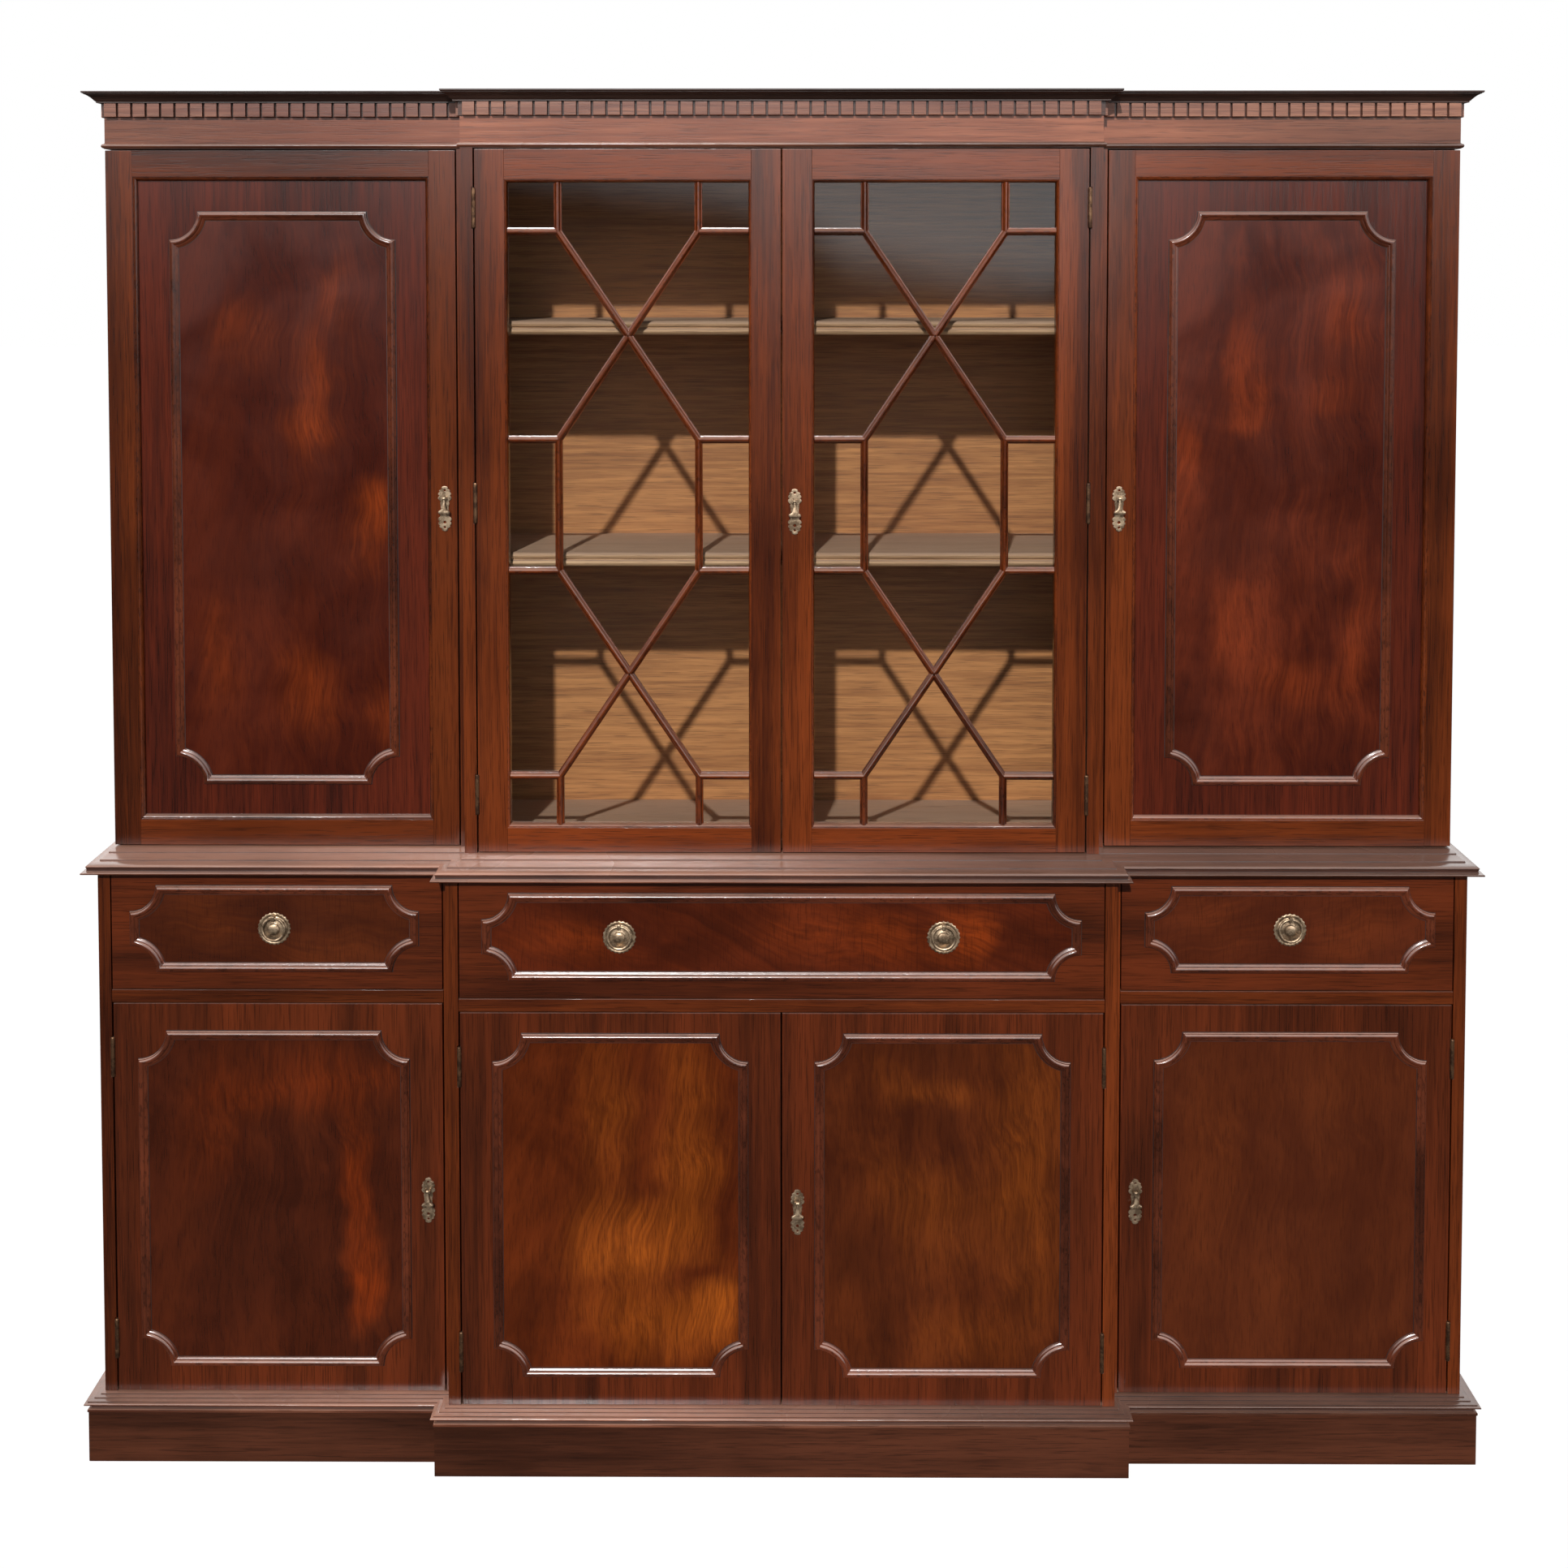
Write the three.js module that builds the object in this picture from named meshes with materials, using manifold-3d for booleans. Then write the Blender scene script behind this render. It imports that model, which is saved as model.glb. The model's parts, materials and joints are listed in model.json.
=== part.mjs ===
// Breakfront secretary bookcase in mahogany: a base of cupboards under three drawers,
// the wide one a writing drawer with a fall front, and a glazed and panelled upper case.
// Millimetres, +Z up, the front towards -Y, the origin on the floor under the middle.

import * as THREE from "three";
import { mergeVertices } from "three/addons/utils/BufferGeometryUtils.js";
import Module from "manifold-3d";

const wasm = await Module();
wasm.setup();

// Widths across the faces of the two cases, and of the centre that stands forward
const BASE_WIDTH = 1970;
const BASE_CENTRE_WIDTH = 957;
const UPPER_SIDE_STEP = 8;
const UPPER_CENTRE_STEP = 20;
const UPPER_WIDTH = BASE_WIDTH - 2 * UPPER_SIDE_STEP;
const UPPER_CENTRE_WIDTH = BASE_CENTRE_WIDTH - 2 * UPPER_CENTRE_STEP;

// Depths: the base wings from face to back, the step forward, the upper case's step back
const WING_DEPTH = 325;
const BREAK = 30;
const UPPER_SETBACK = 46;

// Heights of the courses, from the floor up
const PLINTH_HEIGHT = 85;
const PLINTH_MOULD_HEIGHT = 8;
const CUPBOARD_HEIGHT = 575;
const RAIL_HEIGHT = 18.5;
const DRAWER_COURSE = 173.5;
const WAIST_HEIGHT = 21;
const UPPER_DOOR_COURSE = 1018;
const BEAD_HEIGHT = 8;
const FRIEZE_HEIGHT = 37.5;
const DENTIL_HEIGHT = 20;
const CORNICE_HEIGHT = 15.5;

// How far each moulding stands out from the face that it runs round
const PLINTH_PROUD = 17.5;
const PLINTH_MOULD_PROUD = 22.5;
const WAIST_PROUD = 18;
const BEAD_PROUD = 4;
const CORNICE_PROUD = 24;
const CORNICE_FOOT_PROUD = 8.5;

// Boards
const BOARD = 18;
const BASE_LINING = 9;
const UPPER_LINING = 11;
const BASE_BOARD = 18;
const UPPER_FLOOR = 15;
const BACK_BOARD = 8;
const PLINTH_WALL = 22;
const FRIEZE_WALL = 20;
const SHELF = 20;

// Shelf tops above the foot of the upper case, and how far shelves lie behind the doors
const LOW_SHELF_RISE = 434;
const HIGH_SHELF_RISE = 770;
const WING_SHELF_RISE = 510;
const SHELF_SETBACK = 6;

// Clearances
const JOINT = 0.3;
const DOOR_GAP = 2;
const DRAWER_GAP = 1.5;
const FALL_TOP_GAP = 2.5;
const RUN_GAP = 0.6;
const DRAWER_BACK_GAP = 8;
const HINGE_GAP = 0.4;
const CUT_OVERRUN = 5;

// Doors
const DOOR_THICKNESS = 20;
const WING_STILE = 44;
const WING_RAIL = 43;
const WING_EDGE_BEVEL = 6;
const WING_PANEL_DEPTH = 8;
const WING_PANEL_THICKNESS = 8;
const GLAZED_STILE = 46;
const GLAZED_TOP_RAIL = 47;
const GLAZED_BOTTOM_RAIL = 39;
const GLAZED_EDGE_BEVEL = 4;
const REBATE = 7;
const GLASS = 3;
const GLASS_DEPTH = 12;
const BAR_WIDTH = 9.5;
const BAR_SETBACK = 2;

// The glazing pattern, as shares of the door's opening: uprights from each side, short
// bars from each end, and the two crossings between short bars and the middle light
const UPRIGHT_SHARE = 0.208;
const STUB_SHARE = 0.0757;
const CROSSING_SHARE = 0.3977;

// Applied mouldings with concave corners, and their distances from the edges around them
const MOULD_WIDTH = 12.5;
const MOULD_PROUD = 5.5;
const MOULD_SINK = 1;
const WING_CORNER = 41;
const DRAWER_CORNER = 38;
const CORNER_STEPS = 4;
const WING_MOULD_INSET = 45;
const DOOR_INNER_INSET = 48;
const DOOR_OUTER_INSET = 36;
const DOOR_TOP_INSET = 40;
const DOOR_FOOT_INSET = 38;
const CENTRE_SIDE_INSET = 47;
const CENTRE_TOP_INSET = 30;
const CENTRE_FOOT_INSET = 42;
const DRAWER_INNER_INSET = 34;
const DRAWER_OUTER_INSET = 27;
const FALL_SIDE_INSET = 33;
const DRAWER_MOULD_RISE = 26;
const DRAWER_MOULD_HEIGHT = 125;

// Dentils
const DENTIL_WIDTH = 17.5;
const DENTIL_SPACE = 3.2;
const DENTIL_PROUD = 7;
const DENTIL_BAND_PROUD = 2;

// Drawers and the writing drawer's fittings
const DRAWER_WALL = 10;
const DRAWER_FLOOR = 8;
const DRAWER_BOX_HEIGHT = 140;
const WRITING_FLOOR = 20;
const PIGEONHOLES = 5;
const PIGEONHOLE_DEPTH = 118;
const PIGEONHOLE_WALL = 7;
const QUADRANT_RADIUS = 128;
const QUADRANT_WIDTH = 10;
const QUADRANT_THICKNESS = 3;
const QUADRANT_GAP = 2;
const QUADRANT_FOOT_ANGLE = 12;
const QUADRANT_HEAD_ANGLE = 86;
const QUADRANT_STEPS = 8;

// Hinge barrels: their radius and length, and their axis in front of the face
const BARREL_RADIUS = 3.2;
const BARREL_LENGTH = 58;
const BARREL_PROUD = 1;
const BARREL_SIDES = 8;
const UPPER_HINGE_INSET = 84;
const BASE_HINGE_INSET = 78;

// Ring pulls, measured out from the face of the drawer
const ROSE_RADIUS = 24;
const ROSE_RIM = 1.6;
const ROSE_FIELD = 2.4;
const ROSE_BOSS_RADIUS = 8;
const ROSE_BOSS_HEIGHT = 6.4;
const RING_RADIUS = 16;
const RING_WIRE = 1.8;
const RING_OUT = 5.2;
const RING_PIVOT_RISE = 16.5;
const LUG_BORE = 2.9;
const LUG_WALL = 1.2;
const LUG_WIDTH = 5;
const ROUND_SIDES = 16;
const WIRE_SIDES = 6;
const RING_PULL_SPREAD = 461;
const RING_PULL_RISE = 88.5;

// Escutcheon plates with a drop
const PLATE_HEIGHT = 66;
const PLATE_WIDTH = 20;
const PLATE_THICKNESS = 1.6;
const PIERCING_RADIUS = 1.7;
const KEYHOLE_RADIUS = 2.2;
const PIN_RADIUS = 1.1;
const PIN_OUT = 6.2;
const PIN_GAP = 0.4;
const PIN_SIDES = 8;
const EAR_THICKNESS = 1.4;
const EAR_WIDTH = 4.4;
const EYE_WALL = 1.2;
const EYE_WIDTH = 4.2;
const DROP_LENGTH = 23;
const DROP_WIDTH = 18;
const DROP_DEPTH = 6.4;
const DROP_SIDES = 10;
const UPPER_PLATE_INSET = 18;
const BASE_PLATE_INSET = 22;
const UPPER_PLATE_RISE = 497;
const BASE_PLATE_RISE = 285;

// Half of the plate's outline from its top point to its waist: shares of width and height
const PLATE_SHARES = [
  [0, 0.5], [0.14, 0.455], [0.1, 0.41], [0.34, 0.375], [0.24, 0.32],
  [0.5, 0.27], [0.32, 0.21], [0.4, 0.1], [0.34, 0],
];
const PIN_SHARE = 0.235;

// Holes through the plate: shares of its height from its middle, with their radii
const PIERCINGS = [[0.42, PIERCING_RADIUS], [-0.42, PIERCING_RADIUS], [-0.27, KEYHOLE_RADIUS]];

// The drop from its neck down: shares of its width and of its length
const DROP_SHARES = [[0.09, 0.1], [0.11, 0.3], [0.2, 0.55], [0.26, 0.74], [0.5, 0.84], [0.46, 1]];

// Profiles from the bottom up: shares of how far they stand out and of their height
const PLINTH_PROFILE_SHARES = [[1, 0], [1, 0.4], [0.8, 0.5], [0.55, 0.75], [0.12, 0.88], [0, 1]];
const WAIST_PROFILE_SHARES = [
  [1, 0], [1, 0.26], [0.8, 0.31], [0.92, 0.42], [0.92, 0.6], [0.72, 0.76], [0.5, 0.8], [0.42, 0.92], [0.2, 1],
];
const BEAD_PROFILE_SHARES = [[0, 0], [1, 0.25], [1, 0.75], [0, 1]];
const CORNICE_PROFILE_SHARES = [[0, 0], [0.2, 0.3], [0.6, 0.55], [0.85, 0.85], [1, 1]];
const MOULD_PROFILE_SHARES = [[0, 0.6], [0.2, 1], [0.62, 0.95], [1, 0.35]];
const ROSE_PROFILE_SHARES = [0.95, 0.8, 0.55];

// Levels
const zCupboard = PLINTH_HEIGHT + PLINTH_MOULD_HEIGHT;
const zRail = zCupboard + CUPBOARD_HEIGHT;
const zDrawer = zRail + RAIL_HEIGHT;
const zWaist = zDrawer + DRAWER_COURSE;
const zUpper = zWaist + WAIST_HEIGHT;
const zBead = zUpper + UPPER_DOOR_COURSE;
const zFrieze = zBead + BEAD_HEIGHT;
const zDentil = zFrieze + FRIEZE_HEIGHT;
const zCornice = zDentil + DENTIL_HEIGHT;

// Faces, front to back
const yBase = (BREAK + PLINTH_MOULD_PROUD - WING_DEPTH) / 2;
const yBaseCentre = yBase - BREAK;
const yUpper = yBase + UPPER_SETBACK;
const yUpperCentre = yUpper - BREAK;
const yBack = yBase + WING_DEPTH;
const yInside = yBack - BACK_BOARD - JOINT;

// Faces from the middle line outwards
const xBase = BASE_WIDTH / 2;
const xUpper = UPPER_WIDTH / 2;
const xBaseCentre = BASE_CENTRE_WIDTH / 2;
const xUpperCentre = UPPER_CENTRE_WIDTH / 2;

const SIDES = { left: -1, right: 1 };

function finish(hex, roughness, metalness, extra) {
  return new THREE.MeshStandardMaterial({ color: hex, roughness, metalness, ...extra });
}

const casework = finish(0x5a2c1a, 0.38, 0);
const darkMoulding = finish(0x33180f, 0.4, 0);
const flame = finish(0x5c2414, 0.32, 0);
const backWood = finish(0x9a6238, 0.6, 0);
const shelfWood = finish(0x8a6a50, 0.55, 0);
const drawerWood = finish(0x8f6a44, 0.65, 0);
const brass = finish(0xa08c72, 0.42, 0.9);
const glass = finish(0xdde6e2, 0.05, 0, { transparent: true, opacity: 0.2 });

const bookcase = new THREE.Group();

function solidOf(geometry) {
  const bare = geometry.clone();
  for (const name of Object.keys(bare.attributes)) {
    if (name !== "position") bare.deleteAttribute(name);
  }
  const merged = mergeVertices(bare);
  const mesh = new wasm.Mesh({
    numProp: 3,
    vertProperties: merged.attributes.position.array,
    triVerts: new Uint32Array(merged.index.array),
  });
  return new wasm.Manifold(mesh);
}

function geometryOf(solid) {
  const mesh = solid.getMesh();
  const geometry = new THREE.BufferGeometry();
  geometry.setAttribute("position", new THREE.BufferAttribute(mesh.vertProperties, mesh.numProp));
  geometry.setIndex(new THREE.BufferAttribute(mesh.triVerts, 1));
  const flat = geometry.toNonIndexed();
  flat.computeVertexNormals();
  return flat;
}

function place(name, solid, material, x = 0, y = 0, z = 0) {
  const mesh = new THREE.Mesh(geometryOf(solid), material);
  mesh.name = name;
  mesh.position.set(x, y, z);
  bookcase.add(mesh);
}

// A board between two corners, whichever way round its sides are given
function board(xa, xb, ya, yb, za, zb) {
  const geometry = new THREE.BoxGeometry(Math.abs(xb - xa), Math.abs(yb - ya), Math.abs(zb - za));
  return solidOf(geometry.translate((xa + xb) / 2, (ya + yb) / 2, (za + zb) / 2));
}

// A solid through loops of equally many points, closed by caps or round into a ring
function loft(loops, ring) {
  const count = loops[0].length;
  const points = loops.flat();
  const faces = [];
  const last = ring ? loops.length : loops.length - 1;
  for (let row = 0; row < last; row += 1) {
    const low = row * count;
    const high = ((row + 1) % loops.length) * count;
    for (let i = 0; i < count; i += 1) {
      const next = (i + 1) % count;
      faces.push(low + i, low + next, high + next, low + i, high + next, high + i);
    }
  }
  if (!ring) {
    const flat = loops[0].map((p) => new THREE.Vector2(p.x, p.y));
    const top = points.length - count;
    for (const [a, b, c] of THREE.ShapeUtils.triangulateShape(flat, [])) {
      faces.push(a, c, b, top + a, top + b, top + c);
    }
  }
  const geometry = new THREE.BufferGeometry().setFromPoints(points);
  geometry.setIndex(faces);
  return solidOf(geometry);
}

// Work drawn on a face looks out along +Z with its height along +Y; this stands it up
function standUp(solid, x, y, z) {
  const geometry = geometryOf(solid).rotateX(Math.PI / 2).translate(x, y, z);
  return solidOf(geometry);
}

function breakfront(width, centreWidth, yFace, proud, yRear) {
  const wing = width / 2 + proud;
  const centre = centreWidth / 2 + proud;
  const front = yFace - proud;
  return [
    [-wing, yRear], [-wing, front], [-centre, front], [-centre, front - BREAK],
    [centre, front - BREAK], [centre, front], [wing, front], [wing, yRear],
  ];
}

const basePlan = (proud) => breakfront(BASE_WIDTH, BASE_CENTRE_WIDTH, yBase, proud, yBack);
const upperPlan = (proud) => breakfront(UPPER_WIDTH, UPPER_CENTRE_WIDTH, yUpper, proud, yBack);

// A slab of breakfront plan whose edge follows [proud, height] pairs from the bottom up
function slab(planAt, profile) {
  return loft(profile.map(([proud, z]) => planAt(proud).map(([x, y]) => new THREE.Vector3(x, y, z))));
}

function profileAt(shares, proudFoot, proudTop, z, height) {
  return shares.map(([out, up]) => [proudFoot + (proudTop - proudFoot) * out, z + height * up]);
}

function plinth() {
  const walls = slab(basePlan, [[PLINTH_PROUD, 0], [PLINTH_PROUD, PLINTH_HEIGHT]]);
  const moulding = slab(basePlan, profileAt(
    PLINTH_PROFILE_SHARES, 0, PLINTH_MOULD_PROUD, PLINTH_HEIGHT, PLINTH_MOULD_HEIGHT));
  const hollowPlan = (proud) => breakfront(
    BASE_WIDTH, BASE_CENTRE_WIDTH, yBase, proud, yBack - PLINTH_WALL);
  const inner = PLINTH_PROUD - PLINTH_WALL;
  const ceiling = zCupboard - BASE_BOARD;
  const hollow = slab(hollowPlan, [[inner, -CUT_OVERRUN], [inner, ceiling]]);
  place("plinth", walls.add(moulding).subtract(hollow), darkMoulding);
}

// The recess in a case for a door's hinge barrels, and the barrels themselves
function barrels(x, y, heights, radius, length) {
  let all = null;
  for (const z of heights) {
    const geometry = new THREE.CylinderGeometry(radius, radius, length, BARREL_SIDES);
    const barrel = solidOf(geometry.rotateX(Math.PI / 2).translate(x, y, z));
    all = all ? all.add(barrel) : barrel;
  }
  return all;
}

const hingePockets = (x, y, heights) => barrels(
  x, y, heights, BARREL_RADIUS + HINGE_GAP, BARREL_LENGTH + DOOR_GAP);
const hingeBarrels = (x, y, heights) => barrels(x, y, heights, BARREL_RADIUS, BARREL_LENGTH);

// The door courses: where each row of doors starts and ends, and where it is hinged
const baseDoors = { foot: zCupboard + DRAWER_GAP, head: zRail - DRAWER_GAP };
const upperDoors = { foot: zUpper + DOOR_GAP, head: zBead - DOOR_GAP };
const baseHinges = [baseDoors.foot + BASE_HINGE_INSET, baseDoors.head - BASE_HINGE_INSET];
const upperHinges = [
  upperDoors.foot + UPPER_HINGE_INSET,
  (upperDoors.foot + upperDoors.head) / 2,
  upperDoors.head - UPPER_HINGE_INSET,
];

// Hinge axes: at the stiles for doors between them, at the back corner for wing doors
// that cover the case's side
const xBaseWingHinge = xBase - BOARD - DOOR_GAP / 2;
const xBaseCentreHinge = xBaseCentre - BOARD - DOOR_GAP / 2;
const xUpperCentreHinge = xUpperCentre - BOARD - DOOR_GAP / 2;
const xUpperWingHinge = xUpper + BARREL_PROUD;
const yUpperWingHinge = yUpper + DOOR_THICKNESS + JOINT / 2;

function baseCase() {
  const foot = zCupboard + JOINT;
  const head = zWaist - JOINT;
  for (const [name, side] of Object.entries(SIDES)) {
    const outer = board(side * (xBase - BOARD), side * xBase, yBase, yInside, foot, head);
    place(`base_side_${name}`, outer.subtract(
      hingePockets(side * xBaseWingHinge, yBase - BARREL_PROUD, baseHinges)), casework);
    const lining = board(side * (xBaseCentre - BOARD), side * (xBaseCentre + BASE_LINING),
      yBase, yInside, foot, head);
    const stile = board(side * (xBaseCentre - BOARD), side * xBaseCentre,
      yBaseCentre, yBase + BREAK, foot, head);
    place(`base_partition_${name}`, lining.add(stile).subtract(
      hingePockets(side * xBaseCentreHinge, yBaseCentre - BARREL_PROUD, baseHinges)), casework);
    place(`drawer_rail_${name}`, board(side * (xBaseCentre + BASE_LINING + JOINT),
      side * (xBase - BOARD - JOINT), yBase, yInside, zRail, zDrawer), casework);
  }
  const reach = xBaseCentre - BOARD - JOINT;
  place("drawer_rail_centre", board(-reach, reach, yBaseCentre, yInside, zRail, zDrawer), casework);
  place("base_back_panel", board(-xBase, xBase, yBack - BACK_BOARD, yBack, foot, head), backWood);
  const moulding = profileAt(WAIST_PROFILE_SHARES, 0, WAIST_PROUD, zWaist, WAIST_HEIGHT);
  place("waist_moulding", slab(basePlan, moulding), darkMoulding);
}

function upperCase() {
  const foot = zUpper + JOINT;
  const head = zBead - JOINT;
  const behindDoor = DOOR_THICKNESS + DOOR_GAP;
  const floorPlan = (proud) => breakfront(UPPER_WIDTH - 2 * (BOARD + JOINT), UPPER_CENTRE_WIDTH,
    yUpper + behindDoor, proud, yInside + proud);
  const floorTop = foot + UPPER_FLOOR;
  place("upper_floor", slab(floorPlan, [[0, foot], [0, floorTop]]), shelfWood);
  const floorRoom = slab(floorPlan, [[JOINT, foot - JOINT], [JOINT, floorTop + JOINT]]);
  for (const [name, side] of Object.entries(SIDES)) {
    const outer = board(side * (xUpper - BOARD), side * xUpper,
      yUpper + DOOR_THICKNESS + JOINT, yInside, foot, head);
    place(`upper_side_${name}`, outer.subtract(
      hingePockets(side * xUpperWingHinge, yUpperWingHinge, upperHinges)), casework);
    const lining = board(side * (xUpperCentre - BOARD), side * (xUpperCentre + UPPER_LINING),
      yUpper, yInside, foot, head);
    const stile = board(side * (xUpperCentre - BOARD), side * xUpperCentre,
      yUpperCentre, yUpper + BREAK, foot, head);
    place(`upper_partition_${name}`, lining.add(stile).subtract(floorRoom).subtract(
      hingePockets(side * xUpperCentreHinge, yUpperCentre - BARREL_PROUD, upperHinges)), casework);
    place(`wing_shelf_${name}`, board(side * (xUpperCentre + UPPER_LINING + JOINT),
      side * (xUpper - BOARD - JOINT), yUpper + DOOR_THICKNESS + SHELF_SETBACK, yInside,
      zUpper + WING_SHELF_RISE - SHELF, zUpper + WING_SHELF_RISE), shelfWood);
  }
  const reach = xUpperCentre - BOARD - JOINT;
  const shelves = { low: LOW_SHELF_RISE, high: HIGH_SHELF_RISE };
  for (const [name, rise] of Object.entries(shelves)) {
    place(`centre_shelf_${name}`, board(-reach, reach,
      yUpperCentre + DOOR_THICKNESS + SHELF_SETBACK, yInside,
      zUpper + rise - SHELF, zUpper + rise), shelfWood);
  }
  place("upper_back_panel", board(-xUpper, xUpper, yBack - BACK_BOARD, yBack, foot, head), backWood);
}

// The frieze stands on the upper case's top board, whose edge is the bead
function frieze() {
  const top = slab(upperPlan, profileAt(BEAD_PROFILE_SHARES, 0, BEAD_PROUD, zBead, BEAD_HEIGHT));
  const walls = slab(upperPlan, [[0, zFrieze - BEAD_PROUD], [0, zDentil - JOINT]]);
  const innerPlan = (proud) => breakfront(
    UPPER_WIDTH, UPPER_CENTRE_WIDTH, yUpper, proud, yBack - FRIEZE_WALL);
  const hollow = slab(innerPlan, [[-FRIEZE_WALL, zFrieze], [-FRIEZE_WALL, zDentil + CUT_OVERRUN]]);
  place("frieze", top.add(walls).subtract(hollow), casework);
}

// Dentils along a straight run, spread evenly from corner to corner
function dentilRun(solid, from, to) {
  const run = to.clone().sub(from);
  const pitch = DENTIL_WIDTH + DENTIL_SPACE;
  const count = Math.max(1, Math.round(run.length() / pitch));
  const along = run.clone().normalize();
  const centre = from.clone().lerp(to, 0.5);
  for (let i = 0; i < count; i += 1) {
    const spot = centre.clone().addScaledVector(along, (i - (count - 1) / 2) * pitch);
    const geometry = new THREE.BoxGeometry(DENTIL_WIDTH, 2 * DENTIL_PROUD, DENTIL_HEIGHT);
    geometry.rotateZ(Math.atan2(along.y, along.x));
    geometry.translate(spot.x, spot.y, zDentil + DENTIL_HEIGHT / 2);
    solid = solid.add(solidOf(geometry));
  }
  return solid;
}

function cornice() {
  const band = slab(upperPlan, [[DENTIL_BAND_PROUD, zDentil], [DENTIL_BAND_PROUD, zCornice]]);
  const crown = slab(upperPlan, profileAt(
    CORNICE_PROFILE_SHARES, CORNICE_FOOT_PROUD, CORNICE_PROUD, zCornice, CORNICE_HEIGHT));
  let solid = band.add(crown);
  const corners = upperPlan(0).map(([x, y]) => new THREE.Vector2(x, y));
  for (let i = 0; i + 1 < corners.length; i += 1) {
    solid = dentilRun(solid, corners[i], corners[i + 1]);
  }
  place("cornice", solid, darkMoulding);
}

// One loop of an applied moulding: straight runs joined by arcs about the outer corners
function concaveLoop(halfWidth, halfHeight, corner, inset, lift) {
  const radius = corner + inset;
  const start = Math.asin(inset / radius);
  const points = [];
  const corners = [[1, 1], [-1, 1], [-1, -1], [1, -1]];
  corners.forEach(([sx, sy], quarter) => {
    const turn = (quarter * Math.PI) / 2;
    const first = (3 * Math.PI) / 2 - start + turn;
    const sweep = Math.PI / 2 - 2 * start;
    for (let i = 0; i <= CORNER_STEPS; i += 1) {
      const angle = first - (sweep * i) / CORNER_STEPS;
      points.push(new THREE.Vector3(sx * halfWidth + radius * Math.cos(angle),
        sy * halfHeight + radius * Math.sin(angle), lift));
    }
  });
  return points;
}

function appliedMoulding(xa, xb, za, zb, yFace, corner) {
  const halfWidth = Math.abs(xb - xa) / 2;
  const halfHeight = (zb - za) / 2;
  const loopAt = (inset, lift) => concaveLoop(halfWidth, halfHeight, corner, inset, lift);
  const loops = [loopAt(0, -MOULD_SINK)];
  for (const [across, up] of MOULD_PROFILE_SHARES) {
    loops.push(loopAt(MOULD_WIDTH * across, MOULD_PROUD * up));
  }
  loops.push(loopAt(MOULD_WIDTH, -MOULD_SINK));
  return standUp(loft(loops, true), (xa + xb) / 2, yFace, (za + zb) / 2);
}

const rectangle = (halfWidth, halfHeight, lift) => [
  new THREE.Vector3(halfWidth, -halfHeight, lift), new THREE.Vector3(halfWidth, halfHeight, lift),
  new THREE.Vector3(-halfWidth, halfHeight, lift), new THREE.Vector3(-halfWidth, -halfHeight, lift),
];

// A door frame of one thickness, its opening bevelled at the face and rebated behind
function doorFrame(door, opening, bevel, rebateDepth) {
  const halfWidth = Math.abs(opening.xb - opening.xa) / 2;
  const halfHeight = (opening.zb - opening.za) / 2;
  const bored = loft([
    rectangle(halfWidth, halfHeight, -DOOR_THICKNESS - CUT_OVERRUN),
    rectangle(halfWidth, halfHeight, -bevel),
    rectangle(halfWidth + bevel, halfHeight + bevel, 0),
    rectangle(halfWidth + bevel, halfHeight + bevel, CUT_OVERRUN),
  ]);
  const rebate = loft([
    rectangle(halfWidth + REBATE, halfHeight + REBATE, -DOOR_THICKNESS - CUT_OVERRUN),
    rectangle(halfWidth + REBATE, halfHeight + REBATE, -rebateDepth),
  ]);
  const cut = standUp(bored.add(rebate),
    (opening.xa + opening.xb) / 2, door.y, (opening.za + opening.zb) / 2);
  return board(door.xa, door.xb, door.y, door.y + DOOR_THICKNESS, door.za, door.zb).subtract(cut);
}

// What fills a frame's rebate from behind
function infill(opening, y, thickness) {
  const spare = REBATE - JOINT;
  const side = Math.sign(opening.xb - opening.xa);
  return board(opening.xa - side * spare, opening.xb + side * spare,
    y, y + thickness, opening.za - spare, opening.zb + spare);
}

function wingDoor(name, side) {
  const inner = side * (xUpperCentre + UPPER_LINING + DOOR_GAP);
  const door = { xa: inner, xb: side * xUpper, y: yUpper, za: upperDoors.foot, zb: upperDoors.head };
  const opening = {
    xa: door.xa + side * WING_STILE, xb: door.xb - side * WING_STILE,
    za: door.za + WING_RAIL, zb: door.zb - WING_RAIL,
  };
  const frame = doorFrame(door, opening, WING_EDGE_BEVEL, WING_PANEL_DEPTH);
  place(`upper_wing_door_frame_${name}`, frame.add(
    hingeBarrels(side * xUpperWingHinge, yUpperWingHinge, upperHinges)), casework);
  const face = yUpper + WING_PANEL_DEPTH + JOINT;
  const moulding = appliedMoulding(opening.xa + side * WING_MOULD_INSET,
    opening.xb - side * WING_MOULD_INSET, opening.za + WING_MOULD_INSET,
    opening.zb - WING_MOULD_INSET, face, WING_CORNER);
  place(`upper_wing_door_panel_${name}`,
    infill(opening, face, WING_PANEL_THICKNESS).add(moulding), flame);
}

// A glazing bar between two points of the opening, drawn on the door's face
function glazingBar(a, b, extra) {
  const depth = GLASS_DEPTH - BAR_SETBACK;
  const geometry = new THREE.BoxGeometry(a.distanceTo(b) + extra, BAR_WIDTH, depth);
  geometry.rotateZ(Math.atan2(b.y - a.y, b.x - a.x));
  return solidOf(geometry.translate((a.x + b.x) / 2, (a.y + b.y) / 2, -BAR_SETBACK - depth / 2));
}

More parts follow.
